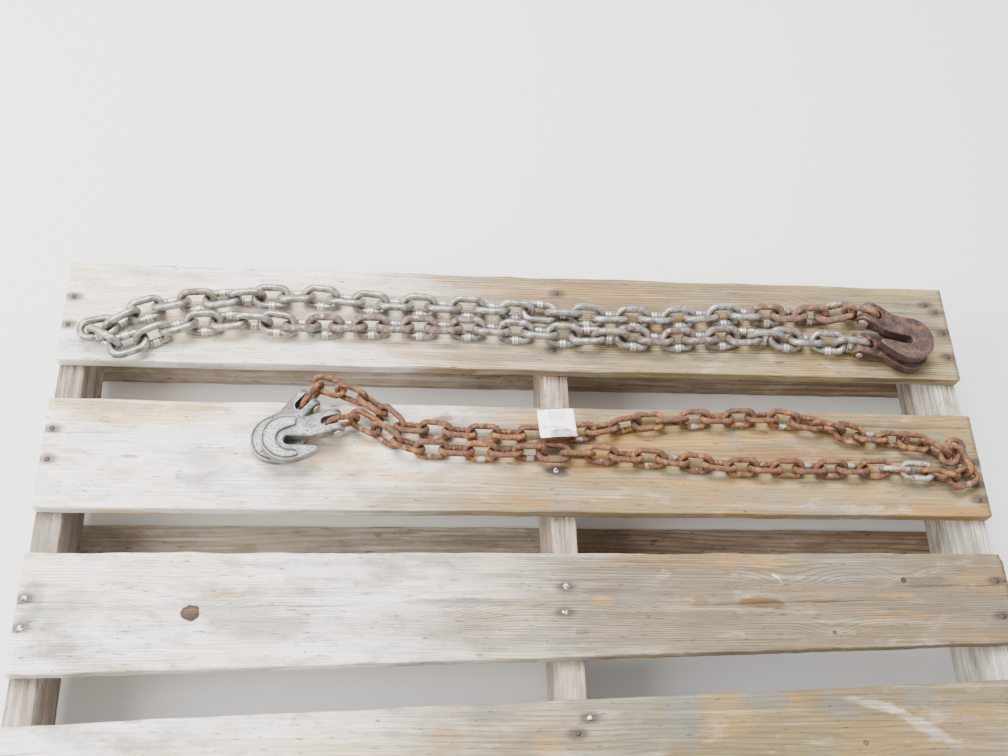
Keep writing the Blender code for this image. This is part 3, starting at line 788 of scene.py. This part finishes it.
UPPER = Chain(27.9, 12.3, 8.2, 0.17)
HOOKS = {  # pin place, heading in degrees, rise over its length, the side its tip is on, scale
    "lower_hook_rear": ((268.5, -174.5, 12.6), 228.0, -5.3, 1, 1.0),
    "lower_hook_front": ((299.0, -203.0, 23.8), 196.0, 1.4, 1, 1.0),
    "upper_hook_under": ((893.0, -90.0, 14.9), -10.0, -6.8, 1, 1.04),
    "upper_hook_over": ((903.0, -56.5, 28.5), -29.0, 0.0, -1, 1.04),
}
PIN_RADIUS = 3.75


def on_pin(hook, far):
    """The pivot that puts a link's inner end on the hook's pin, with its other pivot at far."""
    pin, scale = Vector(HOOKS[hook][0]), HOOKS[hook][4]
    return pin + (pin - Vector(far)).normalized() * (PIN_RADIUS * scale + Chain.AIR)


last = (881.2, -46.2, 19.0)
top = pivots([
    (54.6, -89.0, 14.2, 0), (78.3, -72.5, 0, 1), (103.0, -61.0, 0, 1), (130.0, -54.5, 0, 1),
    (184.0, -49.0, 0, 2), (265.0, -43.5, 0, 3), (347.0, -51.0, 0, 3), (455.0, -53.0, 0, 4),
    (510.0, -56.5, 0, 2), (591.0, -60.0, 0, 3), (671.0, -59.5, 0, 3), (751.0, -51.5, 0, 3),
    (828.5, -50.5, 0, 3), (854.5, -50.0, 12.8, 1), (*last, 1),
])
top.append(on_pin("upper_hook_over", last))
twists = ((0, -35), (2, 0), (3, 0), (7, 90), (15, 90), (19, 180), (27, 180), (31, 225))
upper_links = UPPER.lie(top, rolls_of(len(top) - 1, -45, twists))
middle, heading = Vector((43.0, -92.0, 14.4)), math.radians(195)
half_ring = Vector((math.cos(heading), math.sin(heading), 0)) * UPPER.tip
upper_links.append(UPPER.link(middle - half_ring, middle + half_ring, 0.0))
last = (870.2, -88.0, 14.9)
bottom = pivots([
    (39.8, -97.6, 15.0, 0), (69.3, -113.6, 0, 1), (89.9, -104.2, 0, 1), (114.4, -92.7, 0, 1),
    (140.0, -81.5, 0, 1), (193.0, -77.5, 0, 2), (246.0, -81.5, 0, 2), (347.0, -79.5, 0, 4),
    (455.0, -79.5, 0, 4), (563.0, -85.0, 0, 4), (668.0, -87.5, 0, 4), (746.0, -81.5, 0, 3),
    (844.5, -84.0, 0, 4), (*last, 1),
])
bottom.append(on_pin("upper_hook_under", last))
twists = ((0, 45), (1, 45), (3, 0), (4, 0), (8, 90), (19, 90), (23, 180), (26, 180), (30, 270), (32, 225))
upper_links += UPPER.lie(bottom, rolls_of(len(bottom) - 1, 45, twists))


def uneven(links, seed, middle=0.5, spread=0.5):
    """A number for each link that wanders from link to link."""
    return [middle + spread * wander(i * 10, seed, 13.0) for i in range(len(links))]


def crevice(finish, chain, deep):
    """How near a place on a link is to where its neighbour bears on it, from 0 to 1: the mask of the painted
    shade there.
    """
    on_link = finish.attribute("on_link", "Vector")
    x, y = finish.math("ABSOLUTE", finish.part(0, on_link)), finish.part(1, on_link)
    x = x - chain.inner_length / 2 * MM
    away = finish.math("SQRT", x * x + y * y)
    return finish.between(away, deep * MM, deep * 0.35 * MM)


RUST_ALONG = (  # places along the deck and how rusty the chain is there, for its far run and its near one
    ((40, 118, 130, 165, 180, 770, 790, 870, 900),
     (0.05, 0.1, 0.42, 0.42, 0.12, 0.15, 0.68, 0.8, 0.9)),
    ((40, 235, 262, 450, 480, 590, 620, 745, 780, 880),
     (0.05, 0.1, 0.55, 0.5, 0.2, 0.2, 0.55, 0.5, 0.35, 0.4)),
)
rust = []
for number, place in enumerate(upper_links):
    keys = RUST_ALONG[number >= len(top) - 1]
    rust.append(float(np.interp((place.translation[0] - DECK_LEFT) / MM, *keys)))

DARK_RUST, BROWN_RUST, BRIGHT_RUST = (0.085, 0.042, 0.028), (0.17, 0.08, 0.042), (0.25, 0.088, 0.028)
WELD_HALF, FURROW_SHADE_LINES = 3.6 * MM, (0.95 * MM, 3.6 * MM)
coat = Finish("galvanised_links")
patch = coat.grain(120.0, detail=5.0, roughness=0.65)
fine = coat.grain(700.0, detail=4.0, roughness=0.6)
speckle = coat.grain(170.0, (4, 0, 0), detail=5.0, roughness=0.7)
crevice_shade_and_rust = crevice(coat, UPPER, 9.0)
on_link = coat.attribute("on_link", "Vector")
from_weld, rail = coat.math("ABSOLUTE", coat.part(0, on_link)), coat.part(1, on_link)
welded, raised = coat.between(rail, 0.002, 0.006), coat.between(rail, -0.002, -0.006)
zinc = coat.layers(
    coat.mix(coat.between(patch, 0.38, 0.62), (0.15, 0.135, 0.112), (0.41, 0.41, 0.375)),
    (fine, 0.5, 0.72, 0.6, (0.12, 0.10, 0.085)),
    (fine, 0.42, 0.25, 0.5, (0.66, 0.65, 0.60)),
)
zinc = coat.mix(coat.attribute("shade") * 0.35, zinc, (0.25, 0.20, 0.15))
# Painted shade where the neighbouring link bears on this one.
zinc = coat.mix(crevice_shade_and_rust * 0.7, zinc, (0.11, 0.08, 0.06))
# Painted highlight on the raised weld collar.
zinc = coat.layers(zinc, (from_weld, WELD_HALF, 3.0 * MM, welded * 0.8, (0.74, 0.73, 0.69)))
# Painted shade in the furrows on either side of each weld burr.
for furrow_line in FURROW_SHADE_LINES:
    away = coat.math("ABSOLUTE", from_weld - furrow_line)
    zinc = coat.layers(zinc, (away, 0.55 * MM, 0.15 * MM, welded * 0.75, (0.10, 0.085, 0.07)))
rust_level = coat.attribute("rust") + raised * 0.22 + crevice_shade_and_rust * 0.12 + (speckle - 0.5) * 1.9
rust_mask = coat.between(rust_level, 0.50, 0.92)
rust_tone = coat.mix(coat.between(fine, 0.38, 0.62), (0.05, 0.024, 0.016), BROWN_RUST)
hot = coat.between(coat.attribute("rust"), 0.55, 0.9) * coat.between(patch, 0.45, 0.65)
rust_tone = coat.mix(hot * 0.75, rust_tone, (0.36, 0.13, 0.032))
coat.set("Base Color", coat.mix(rust_mask * 0.92, zinc, rust_tone))
coat.set("Metallic", coat.between(rust_mask, 0.0, 1.0, 0.6, 0.05))
coat.set("Roughness", coat.between(rust_mask + fine * 0.3, 0.0, 1.2, 0.34, 0.88))
coat.relief(fine * (rust_mask * 0.8 + 0.3) + patch * 0.4, 0.0006)
upper_mesh = repeated(
    "upper_chain", link_tree, upper_links, coat, UPPER.sizes(), rust=rust, shade=uneven(upper_links, 4)
)
upper_nodes = [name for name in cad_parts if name.startswith("upper_chain_")]
new_piece("upper_chain", pitted(upper_mesh, 0.16, 5.0, 3.0), upper_nodes)


# The lower chain
# Lighter chain of 6.4 mm wire, rusted orange-brown all over, worn bright on a few low rails. It is
# folded double too, and lies in a small jumble at its turn and by its hooks.
LOWER = Chain(26.7, 10.9, 6.4, 0.07)
rear, front = (283.9, -152.8, 12.6), (324.0, -194.5, 15.0)
route = pivots([
    rear, (303.6, -158.8, 0, 1), (327.0, -168.5, 0, 1), (348.5, -183.0, 0, 1), (366.5, -200.5, 0, 1),
    (443.5, -207.0, 0, 3), (523.0, -208.0, 0, 3), (573.0, -202.0, 0, 2), (624.0, -191.0, 0, 2),
    (703.0, -184.5, 0, 3), (779.0, -181.5, 0, 3), (829.0, -190.5, 0, 2), (876.0, -203.0, 0, 2),
    (923.5, -207.5, 0, 2), (948.5, -211.0, 0, 1), (973.5, -226.5, 0, 1), (983.6, -214.5, 0, 1),
    (992.8, -248.7, 0, 1), (978.0, -254.0, 0, 1), (943.8, -244.8, 0, 1), (923.3, -243.3, 0, 1),
    (897.9, -241.5, 0, 1), (800.0, -242.5, 0, 4), (724.0, -241.5, 0, 3), (648.0, -233.5, 0, 3),
    (570.0, -229.0, 0, 3), (466.5, -228.0, 0, 4), (388.0, -226.0, 0, 3), (363.5, -218.3, 0, 1),
    (342.5, -203.5, 0, 1), (*front, 1),
])
route = [on_pin("lower_hook_rear", rear)] + route + [on_pin("lower_hook_front", front)]
twists = ((0, 45), (1, 45), (3, 0), (13, 0), (17, 90), (21, 90), (25, 180), (27, 225), (28, 225),
          (33, 225), (35, 180), (47, 180), (51, 270), (55, 270), (56, 258), (57, 225), (58, 225))
lower_links = LOWER.lie(route, rolls_of(len(route) - 1, 45, twists))
BRIGHT_LINKS = {
    0: 0.3, 17: 0.35, 21: 0.35, 25: 0.35, 33: 0.7, 34: 0.6,
    36: 0.45, 38: 0.4, 44: 0.4, 50: 0.4, 52: 0.4, 58: 0.35,
}
worn = [BRIGHT_LINKS.get(i, share) for i, share in enumerate(uneven(lower_links, 6, 0.18, 0.1))]

rusty = Finish("rusty_links")
patch = rusty.grain(150.0, detail=5.0, roughness=0.65)
fine = rusty.grain(800.0, detail=4.0, roughness=0.65)
golden = rusty.grain(75.0, (1, 6, 2), detail=4.0, roughness=0.6)
scuffed = rusty.grain(130.0, (9, 2, 0), detail=5.0, roughness=0.65)
crevice_shade_and_rust = crevice(rusty, LOWER, 7.0)
tone = rusty.layers(
    rusty.mix(rusty.between(patch, 0.38, 0.62), (0.055, 0.024, 0.014), BRIGHT_RUST),
    (golden, 0.52, 0.62, 0.85, (0.48, 0.20, 0.045)),
    (fine, 0.44, 0.62, 0.85, (0.026, 0.013, 0.009)),
    (fine, 0.46, 0.28, 0.6, (0.60, 0.32, 0.12)),
)
tone = rusty.mix(rusty.attribute("shade") * 0.4, tone, (0.12, 0.06, 0.038))
# Painted shade where the neighbouring link bears on this one.
tone = rusty.mix(crevice_shade_and_rust * 0.5, tone, (0.055, 0.028, 0.018))
on_link = rusty.attribute("on_link", "Vector")
on_weld = rusty.between(rusty.math("ABSOLUTE", rusty.part(0, on_link)), 6.0 * MM, 2.5 * MM)
on_weld = on_weld * rusty.between(rusty.part(1, on_link), 0.002, 0.005)
bare = rusty.attribute("worn") + on_weld * 0.3 - crevice_shade_and_rust * 0.2 + (scuffed - 0.5) * 1.3
bare = rusty.between(bare, 0.50, 0.72)
rusty.set("Base Color", rusty.mix(bare, tone, (0.50, 0.48, 0.44)))
rusty.set("Metallic", rusty.between(bare, 0.0, 1.0, 0.05, 0.8))
rusty.set("Roughness", rusty.between(bare, 0.0, 1.0, 0.72, 0.40))
rusty.relief(fine + patch * 0.5, 0.0012)
lower_mesh = repeated(
    "lower_chain", link_tree, lower_links, rusty, LOWER.sizes(), worn=worn, shade=uneven(lower_links, 8)
)
lower_nodes = [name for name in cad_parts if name.startswith("lower_chain_")]
new_piece("lower_chain", pitted(lower_mesh, 0.22, 4.0, 5.0), lower_nodes)


# The grab hooks
# Drop-forged hooks with a narrow throat that grips one link, a raised pad round the bend, and a
# clevis fork that a pin closes. The upper chain's are rusty brown, the lower chain's dull zinc grey.
HALF_PLATE, HALF_FORK, FORK_DEPTH, EAR_RADIUS, SLOT_RADIUS = 6.25, 12.5, 15.0, 9.0, 5.0
PLATE_EDGE, FORK_EDGE, PAD_EDGE, BORE_PLAY = 2.6, 2.4, 0.7, 1.08
PAD_RISE, GROOVE_HALF, GROOVE_DEPTH, GROOVE_SHADE_REACH, VOXEL = 0.55, 1.6, 0.9, 2.3, 0.62
PLATE_OUTLINE = (
    (16.0, -12.0), (27.0, -11.5), (36.0, -14.5), (45.0, -18.2), (53.0, -19.5), (62.0, -18.0),
    (70.0, -13.5), (76.0, -6.0), (79.2, 3.0), (79.2, 10.0), (76.0, 18.0), (70.0, 26.0),
    (62.0, 31.0), (53.0, 32.6), (44.0, 32.2), (35.0, 31.2), (27.0, 29.4), (24.3, 27.0),
    (24.8, 23.8), (28.0, 21.8), (53.3, 14.6), (56.0, 12.3), (56.2, 8.6), (54.0, 5.8),
    (50.7, 5.4), (33.0, 10.5), (27.0, 12.0), (16.0, 12.0),
)
PAD_OUTLINE = (
    (38.0, -12.4), (45.0, -15.2), (53.0, -16.4), (61.0, -15.0), (68.0, -10.8), (73.2, -4.4),
    (76.1, 3.6), (76.1, 9.4), (73.2, 16.4), (68.0, 23.4), (61.0, 28.0), (53.0, 29.4),
    (46.0, 29.0), (47.0, 24.0), (53.0, 22.6), (60.0, 18.4), (63.4, 12.0), (63.4, 4.6),
    (59.0, -1.6), (50.0, -4.0), (40.0, -4.6),
)


def rounded_outline(corners, near=0.8, far=0.2, rounds=3):
    """The outline with its corners cut back over and over, into a smooth curve."""
    points = np.array(corners, float)
    for _ in range(rounds):
        following = np.roll(points, -1, axis=0)
        cut = [points * near + following * far, points * far + following * near]
        points = np.stack(cut, axis=1).reshape(-1, 2)
    return points


def grown(points, amount):
    """A smooth outline moved outwards by an amount, or inwards."""
    before, after = np.roll(points, 1, axis=0), np.roll(points, -1, axis=0)
    along = after - before
    along /= np.linalg.norm(along, axis=1)[:, None]
    outwards = np.stack([along[:, 1], -along[:, 0]], axis=1)
    turn = np.sum(points[:, 0] * after[:, 1] - after[:, 0] * points[:, 1])
    return points + outwards * amount * math.copysign(1.0, turn)


def as_mesh(bm, name, matrix=None):
    """Ends a bmesh: moved, with its faces outwards."""
    if matrix is not None:
        bmesh.ops.transform(bm, matrix=matrix, verts=bm.verts)
    bmesh.ops.recalc_face_normals(bm, faces=bm.faces)
    mesh = bpy.data.meshes.new(name)
    bm.to_mesh(mesh)
    bm.free()
    return mesh


def slab(name, outline, low, high, edge=0.0, turn=None):
    """A solid plate of an outline, its edges rounded."""
    bm = bmesh.new()
    bottom, upper = ([bm.verts.new((x, y, z)) for x, y in outline] for z in (low, high))
    bm.faces.new(bottom[::-1])
    bm.faces.new(upper)
    for i, j in enumerate([*range(1, len(outline)), 0]):
        bm.faces.new((bottom[i], bottom[j], upper[j], upper[i]))
    obj = in_scene(name, as_mesh(bm, name, turn))
    if edge:
        bevel = obj.modifiers.new("edge", "BEVEL")
        bevel.width, bevel.segments = edge, 3
        bevel.limit_method, bevel.angle_limit = "ANGLE", math.radians(50)
    return obj


def forged(name, solids, voids, soften):
    """One smooth forging out of solids and voids, all in mm."""
    body = solids[0]
    for others, operation in ((solids[1:], "UNION"), (voids, "DIFFERENCE")):
        for other in others:
            modifier = body.modifiers.new(operation.lower(), "BOOLEAN")
            modifier.operation, modifier.solver, modifier.object = operation, "EXACT", other
    remesh = body.modifiers.new("fine", "REMESH")
    remesh.mode, remesh.voxel_size = "VOXEL", VOXEL
    smooth = body.modifiers.new("soften", "SMOOTH")
    smooth.factor, smooth.iterations = 0.5, soften
    mesh = bpy.data.meshes.new_from_object(body.evaluated_get(bpy.context.evaluated_depsgraph_get()))
    mesh.name = name
    for obj in (*solids, *voids):
        bpy.data.objects.remove(obj)
    return mesh


plate_edge, pad_edge = rounded_outline(PLATE_OUTLINE), rounded_outline(PAD_OUTLINE)
arc = np.linspace(0, math.pi, 17)
side_view = [(-EAR_RADIUS * math.sin(a), EAR_RADIUS * math.cos(a)) for a in arc]
side_view += [(8.0, -EAR_RADIUS), (26.0, 1 - HALF_PLATE), (26.0, HALF_PLATE - 1), (8.0, EAR_RADIUS)]
mouth, slot_end, arc = -EAR_RADIUS * 2, FORK_DEPTH - SLOT_RADIUS, np.linspace(-math.pi / 2, math.pi / 2, 15)
slot = [(mouth, -SLOT_RADIUS)]
slot += [(slot_end + SLOT_RADIUS * math.cos(a), SLOT_RADIUS * math.sin(a)) for a in arc]
slot += [(mouth, SLOT_RADIUS)]
on_edge = Matrix.Rotation(math.pi / 2, 4, "X")
arc = np.arange(24) * math.pi / 12
bore = [(PIN_RADIUS * math.cos(a) * BORE_PLAY, PIN_RADIUS * math.sin(a) * BORE_PLAY) for a in arc]
groove = grown(pad_edge, GROOVE_HALF)


def hook_forging(name, grooves):
    plate = slab("plate", plate_edge, -HALF_PLATE, HALF_PLATE, PLATE_EDGE)
    fork = slab("fork", side_view, -HALF_FORK, HALF_FORK, FORK_EDGE, on_edge)
    voids = [slab("slot", slot, -20, 20), slab("bore", bore, -30, 30, turn=on_edge), *grooves]
    return forged(name, [plate, fork], voids, 3)


grooves = [
    slab("groove_over", groove, HALF_PLATE - GROOVE_DEPTH, HALF_PLATE + 2),
    slab("groove_under", groove, -HALF_PLATE - 2, GROOVE_DEPTH - HALF_PLATE),
]
grooved_shape, plain_shape = hook_forging("grooved_hook", grooves), hook_forging("plain_hook", [])
pad_slab = slab("pad", pad_edge, -HALF_PLATE - PAD_RISE, HALF_PLATE + PAD_RISE, PAD_EDGE)
pad_shape = forged("pad", [pad_slab], [], 2)


def lathe(profile, sides):
    """A closed turned shape round Y, from (radius, y) pairs that begin and end on the axis."""
    bm = bmesh.new()
    rings = []
    for radius, y in profile:
        if radius:
            rings.append([bm.verts.new((radius * math.cos(a), y, radius * math.sin(a)))
                          for a in np.arange(sides) * 2 * math.pi / sides])
        else:
            rings.append([bm.verts.new((0, y, 0))])
    for low, high in zip(rings, rings[1:]):
        for k in range(sides):
            m = (k + 1) % sides
            corners = [low[k % len(low)], low[m % len(low)], high[m % len(high)], high[k % len(high)]]
            bm.faces.new(list(dict.fromkeys(corners)))
    return bm


def hook_matrix(pin, heading, rise, side, scale):
    turn, length = math.radians(heading), max(x for x, _ in PLATE_OUTLINE)
    along = Vector((math.cos(turn) * length, math.sin(turn) * length, rise)).normalized()
    across = Vector((0, 0, 1)).cross(along).normalized() * side
    turned = Matrix((along, across, along.cross(across))).transposed().to_4x4()
    return Matrix.Translation(on_deck(*pin)) @ turned @ Matrix.Scale(MM * scale, 4)


def note_relief_for_shade_and_wear(mesh, outline, on_pad=0.0):
    """Keeps how proud of its surroundings a place is, how near the pad's groove, and if it is on the pad."""
    count = len(mesh.vertices)
    places, normals = np.empty(count * 3), np.empty(count * 3)
    mesh.vertices.foreach_get("co", places)
    mesh.vertices.foreach_get("normal", normals)
    places, normals = places.reshape(-1, 3), normals.reshape(-1, 3)
    ends = np.empty(len(mesh.edges) * 2, int)
    mesh.edges.foreach_get("vertices", ends)
    first, second = ends.reshape(-1, 2).T
    joined = np.maximum(np.bincount(np.concatenate([first, second]), minlength=count), 1)

    def evened(values):
        total = np.bincount(first, values[second], count) + np.bincount(second, values[first], count)
        return total / joined

    level = places.copy()
    for _ in range(10):
        level = np.stack([evened(level[:, axis]) for axis in range(3)], axis=1)
    proud = evened(evened(np.sum((places - level) * normals, axis=1)))
    near = np.full(count, 99.0)
    for x, y in outline:
        near = np.minimum(near, np.hypot(places[:, 0] - x, places[:, 1] - y))
    in_groove = np.exp(-(near / GROOVE_SHADE_REACH) ** 2) * (np.abs(places[:, 2]) > HALF_PLATE - GROOVE_HALF)
    for label, values in (("proud", proud), ("groove", in_groove), ("pad", np.full(count, on_pad))):
        mesh.attributes.new(label, "FLOAT", "POINT").data.foreach_set("value", values)


def forged_steel(name, tones, rust_level, metal, edge):
    """A forging's finish: two tones, rust where the level lets it through, painted shade in hollows and in
    the pad's groove, and worn edges.
    """
    steel = Finish(name)
    patch = steel.grain(60.0, detail=5.0, roughness=0.62)
    fine = steel.grain(520.0, detail=5.0, roughness=0.65)
    pits = steel.between(steel.grain(620.0, (2, 5, 1), detail=2.0), 0.56, 0.66)
    proud, groove, pad = (steel.attribute(label) for label in ("proud", "groove", "pad"))
    rust_mask = steel.grain(90.0, (7, 1, 3), detail=5.0, roughness=0.7) + rust_level
    rust_mask = steel.between(rust_mask - proud * 0.15, 0.5, 0.68)
    tone = steel.mix(steel.between(patch, 0.35, 0.65), *tones)
    tone = steel.layers(tone, (fine, 0.48, 0.72, 0.35, (0.09, 0.078, 0.068)))
    tone = steel.mix(rust_mask, tone, steel.mix(steel.between(fine, 0.3, 0.7), DARK_RUST, BROWN_RUST))
    tone = steel.layers(tone, (proud, 0.12, 0.55, 0.75, edge))
    tone = steel.mix(pad * 0.45, tone, steel.mix(fine, (0.26, 0.26, 0.235), (0.62, 0.61, 0.57)))
    tone = steel.mix(pits * (pad * 0.6 + 0.08), tone, (0.03, 0.024, 0.02))
    # Painted shade in the hollows, where the surface lies below its surroundings.
    tone = steel.layers(tone, (proud, -0.08, -0.45, 0.75, (0.045, 0.032, 0.025)))
    # Painted shade in the groove round the pad.
    steel.set("Base Color", steel.mix(groove * 0.6, tone, (0.055, 0.045, 0.038)))
    steel.set("Metallic", steel.between(rust_mask, 0.0, 1.0, metal, 0.08))
    steel.set("Roughness", steel.between(rust_mask + fine * 0.3, 0.0, 1.2, 0.40, 0.85))
    steel.relief(fine * 0.6 + patch * 0.5 - pits * 0.8, 0.0008)
    return steel


note_relief_for_shade_and_wear(grooved_shape, pad_edge)
note_relief_for_shade_and_wear(plain_shape, [])
note_relief_for_shade_and_wear(pad_shape, pad_edge, 1.0)
HOOK_FINISHES = {  # for each pair of hooks: the shapes, the forging's finish and the pin's
    "lower": (
        (grooved_shape, pad_shape),
        forged_steel("zinc_grey_forging", ((0.095, 0.096, 0.09), (0.24, 0.245, 0.23)), -0.10, 0.65,
                     (0.62, 0.615, 0.57)),
        forged_steel("zinc_pin", ((0.30, 0.29, 0.27), (0.48, 0.47, 0.44)), -0.16, 0.7, (0.7, 0.69, 0.66)),
    ),
    "upper": (
        (plain_shape,),
        forged_steel("rusty_brown_forging", ((0.034, 0.018, 0.016), (0.075, 0.042, 0.036)), 0.03, 0.2,
                     (0.24, 0.10, 0.045)),
        forged_steel("rusty_pin", ((0.20, 0.11, 0.08), (0.38, 0.27, 0.20)), 0.03, 0.4, (0.45, 0.33, 0.24)),
    ),
}
shoulder = HALF_FORK + 0.3
pin_profile = [
    (0.0, -14.5), (3.0, -14.5), (PIN_RADIUS, -13.8), (PIN_RADIUS, shoulder), (5.2, shoulder),
    (5.6, shoulder + 0.4), (5.5, shoulder + 1.6), (4.6, shoulder + 2.3), (3.0, shoulder + 2.6),
    (0.0, shoulder + 2.6),
]
for name, spec in HOOKS.items():
    shapes, steel, pin_steel = HOOK_FINISHES[name.split("_")[0]]
    bm = bmesh.new()
    for shape in shapes:
        bm.from_mesh(shape)
    forging = as_mesh(bm, name + "_forging", hook_matrix(*spec))
    new_piece(name + "_forging", pitted(forging, 0.12, 6.0, len(name)), [name], steel)
    pin = as_mesh(lathe(pin_profile, 28), name + "_turned_pin", hook_matrix(*spec))
    new_piece(name + "_turned_pin", pin, [name + "_pin"], pin_steel)


# The paper tag
# A small white card lying loose on the lower chain, curled up at its near edge and darkened near its
# corners, partly by dirt and partly by painted shade on the curl. It is left blank but for a few faint grey
# lines.
TAG_SIZE, TAG_CENTRE, TAG_TURN = (40.0, 35.0), (535.0, -199.0), math.radians(4.0)
TAG_THICK, TAG_REST, TAG_CROWN, TAG_CURL, TAG_DROOP = 0.35, 19.35, 1.6, 80.0, 3.0
COLUMNS, ROWS = 29, 25
LINE_WAVE = 2600.0  # radians for each metre, so a line every 2.4 mm


def tag_place(i, j, above):
    u, v = i / (COLUMNS - 1) - 0.5, j / (ROWS - 1) - 0.5
    x, y = u * TAG_SIZE[0], v * TAG_SIZE[1]
    curl = TAG_CURL * max(0.0, -v - 0.25) ** 2 - TAG_DROOP * max(0.0, v) ** 2
    return on_deck(
        TAG_CENTRE[0] + x * math.cos(TAG_TURN) - y * math.sin(TAG_TURN),
        TAG_CENTRE[1] + x * math.sin(TAG_TURN) + y * math.cos(TAG_TURN),
        TAG_REST + TAG_CROWN * math.cos(2.4 * u) + curl + above,
    )


bm = bmesh.new()
under, over = (
    [bm.verts.new(tag_place(i, j, above)) for j in range(ROWS) for i in range(COLUMNS)]
    for above in (0.0, TAG_THICK)
)
for j in range(ROWS - 1):
    for i in range(COLUMNS - 1):
        a, b = j * COLUMNS + i, j * COLUMNS + i + 1
        c, d = b + COLUMNS, a + COLUMNS
        bm.faces.new((over[a], over[b], over[c], over[d]))
        bm.faces.new((under[d], under[c], under[b], under[a]))
end = COLUMNS * ROWS
rim = [*range(COLUMNS), *range(2 * COLUMNS - 1, end, COLUMNS)]
rim += [*range(end - 2, end - COLUMNS - 1, -1), *range(end - 2 * COLUMNS, 0, -COLUMNS)]
for a, b in zip(rim, rim[1:] + rim[:1]):
    bm.faces.new((under[a], under[b], over[b], over[a]))

paper = Finish("tag_paper", {"Roughness": 0.8, "Specular IOR Level": 0.3})
tag_x = paper.along(0) - (DECK_LEFT + TAG_CENTRE[0] * MM)
tag_y = paper.along(1) - (DECK_FAR + TAG_CENTRE[1] * MM)
ink = paper.between(paper.math("SINE", tag_y * LINE_WAVE), 0.0, 0.5)
ink = ink * paper.between(tag_y, 0.0045, 0.005) * paper.between(tag_y, 0.0150, 0.0145)
ink = ink * paper.between(paper.math("ABSOLUTE", tag_x), 0.0095, 0.009)
ink = ink * paper.between(paper.grain((520.0, 420.0, 420.0), (3, 1, 0), detail=2.0), 0.42, 0.50)
rule = paper.between(paper.math("ABSOLUTE", tag_y + 0.004), 0.0007, 0.0004)
ink = ink + rule * paper.between(paper.math("ABSOLUTE", tag_x + 0.005), 0.0115, 0.011)
smudge = paper.grain(70.0, detail=5.0, roughness=0.65)
tone = paper.layers((0.97, 0.965, 0.95), (smudge, 0.52, 0.75, 0.5, (0.60, 0.54, 0.46)))
# Dark brown along the curled near edge: partly dirt, partly painted shade on the curl.
curl_dirt_and_shade = paper.between(tag_y + (smudge - 0.5) * 0.014, -0.0065, -0.0080)
curl_dirt_and_shade = curl_dirt_and_shade * paper.between(tag_x, -0.010, -0.006)
tone = paper.mix(curl_dirt_and_shade * paper.between(smudge, 0.35, 0.6, 0.9, 0.6), tone, (0.24, 0.17, 0.14))
paper.set("Base Color", paper.layers(tone, (smudge, 0.75, 0.45, ink, (0.16, 0.16, 0.17))))
paper.relief(paper.grain(900.0), 0.0001)
new_piece("paper_tag_card", as_mesh(bm, "paper_tag_card"), ["paper_tag"], paper)
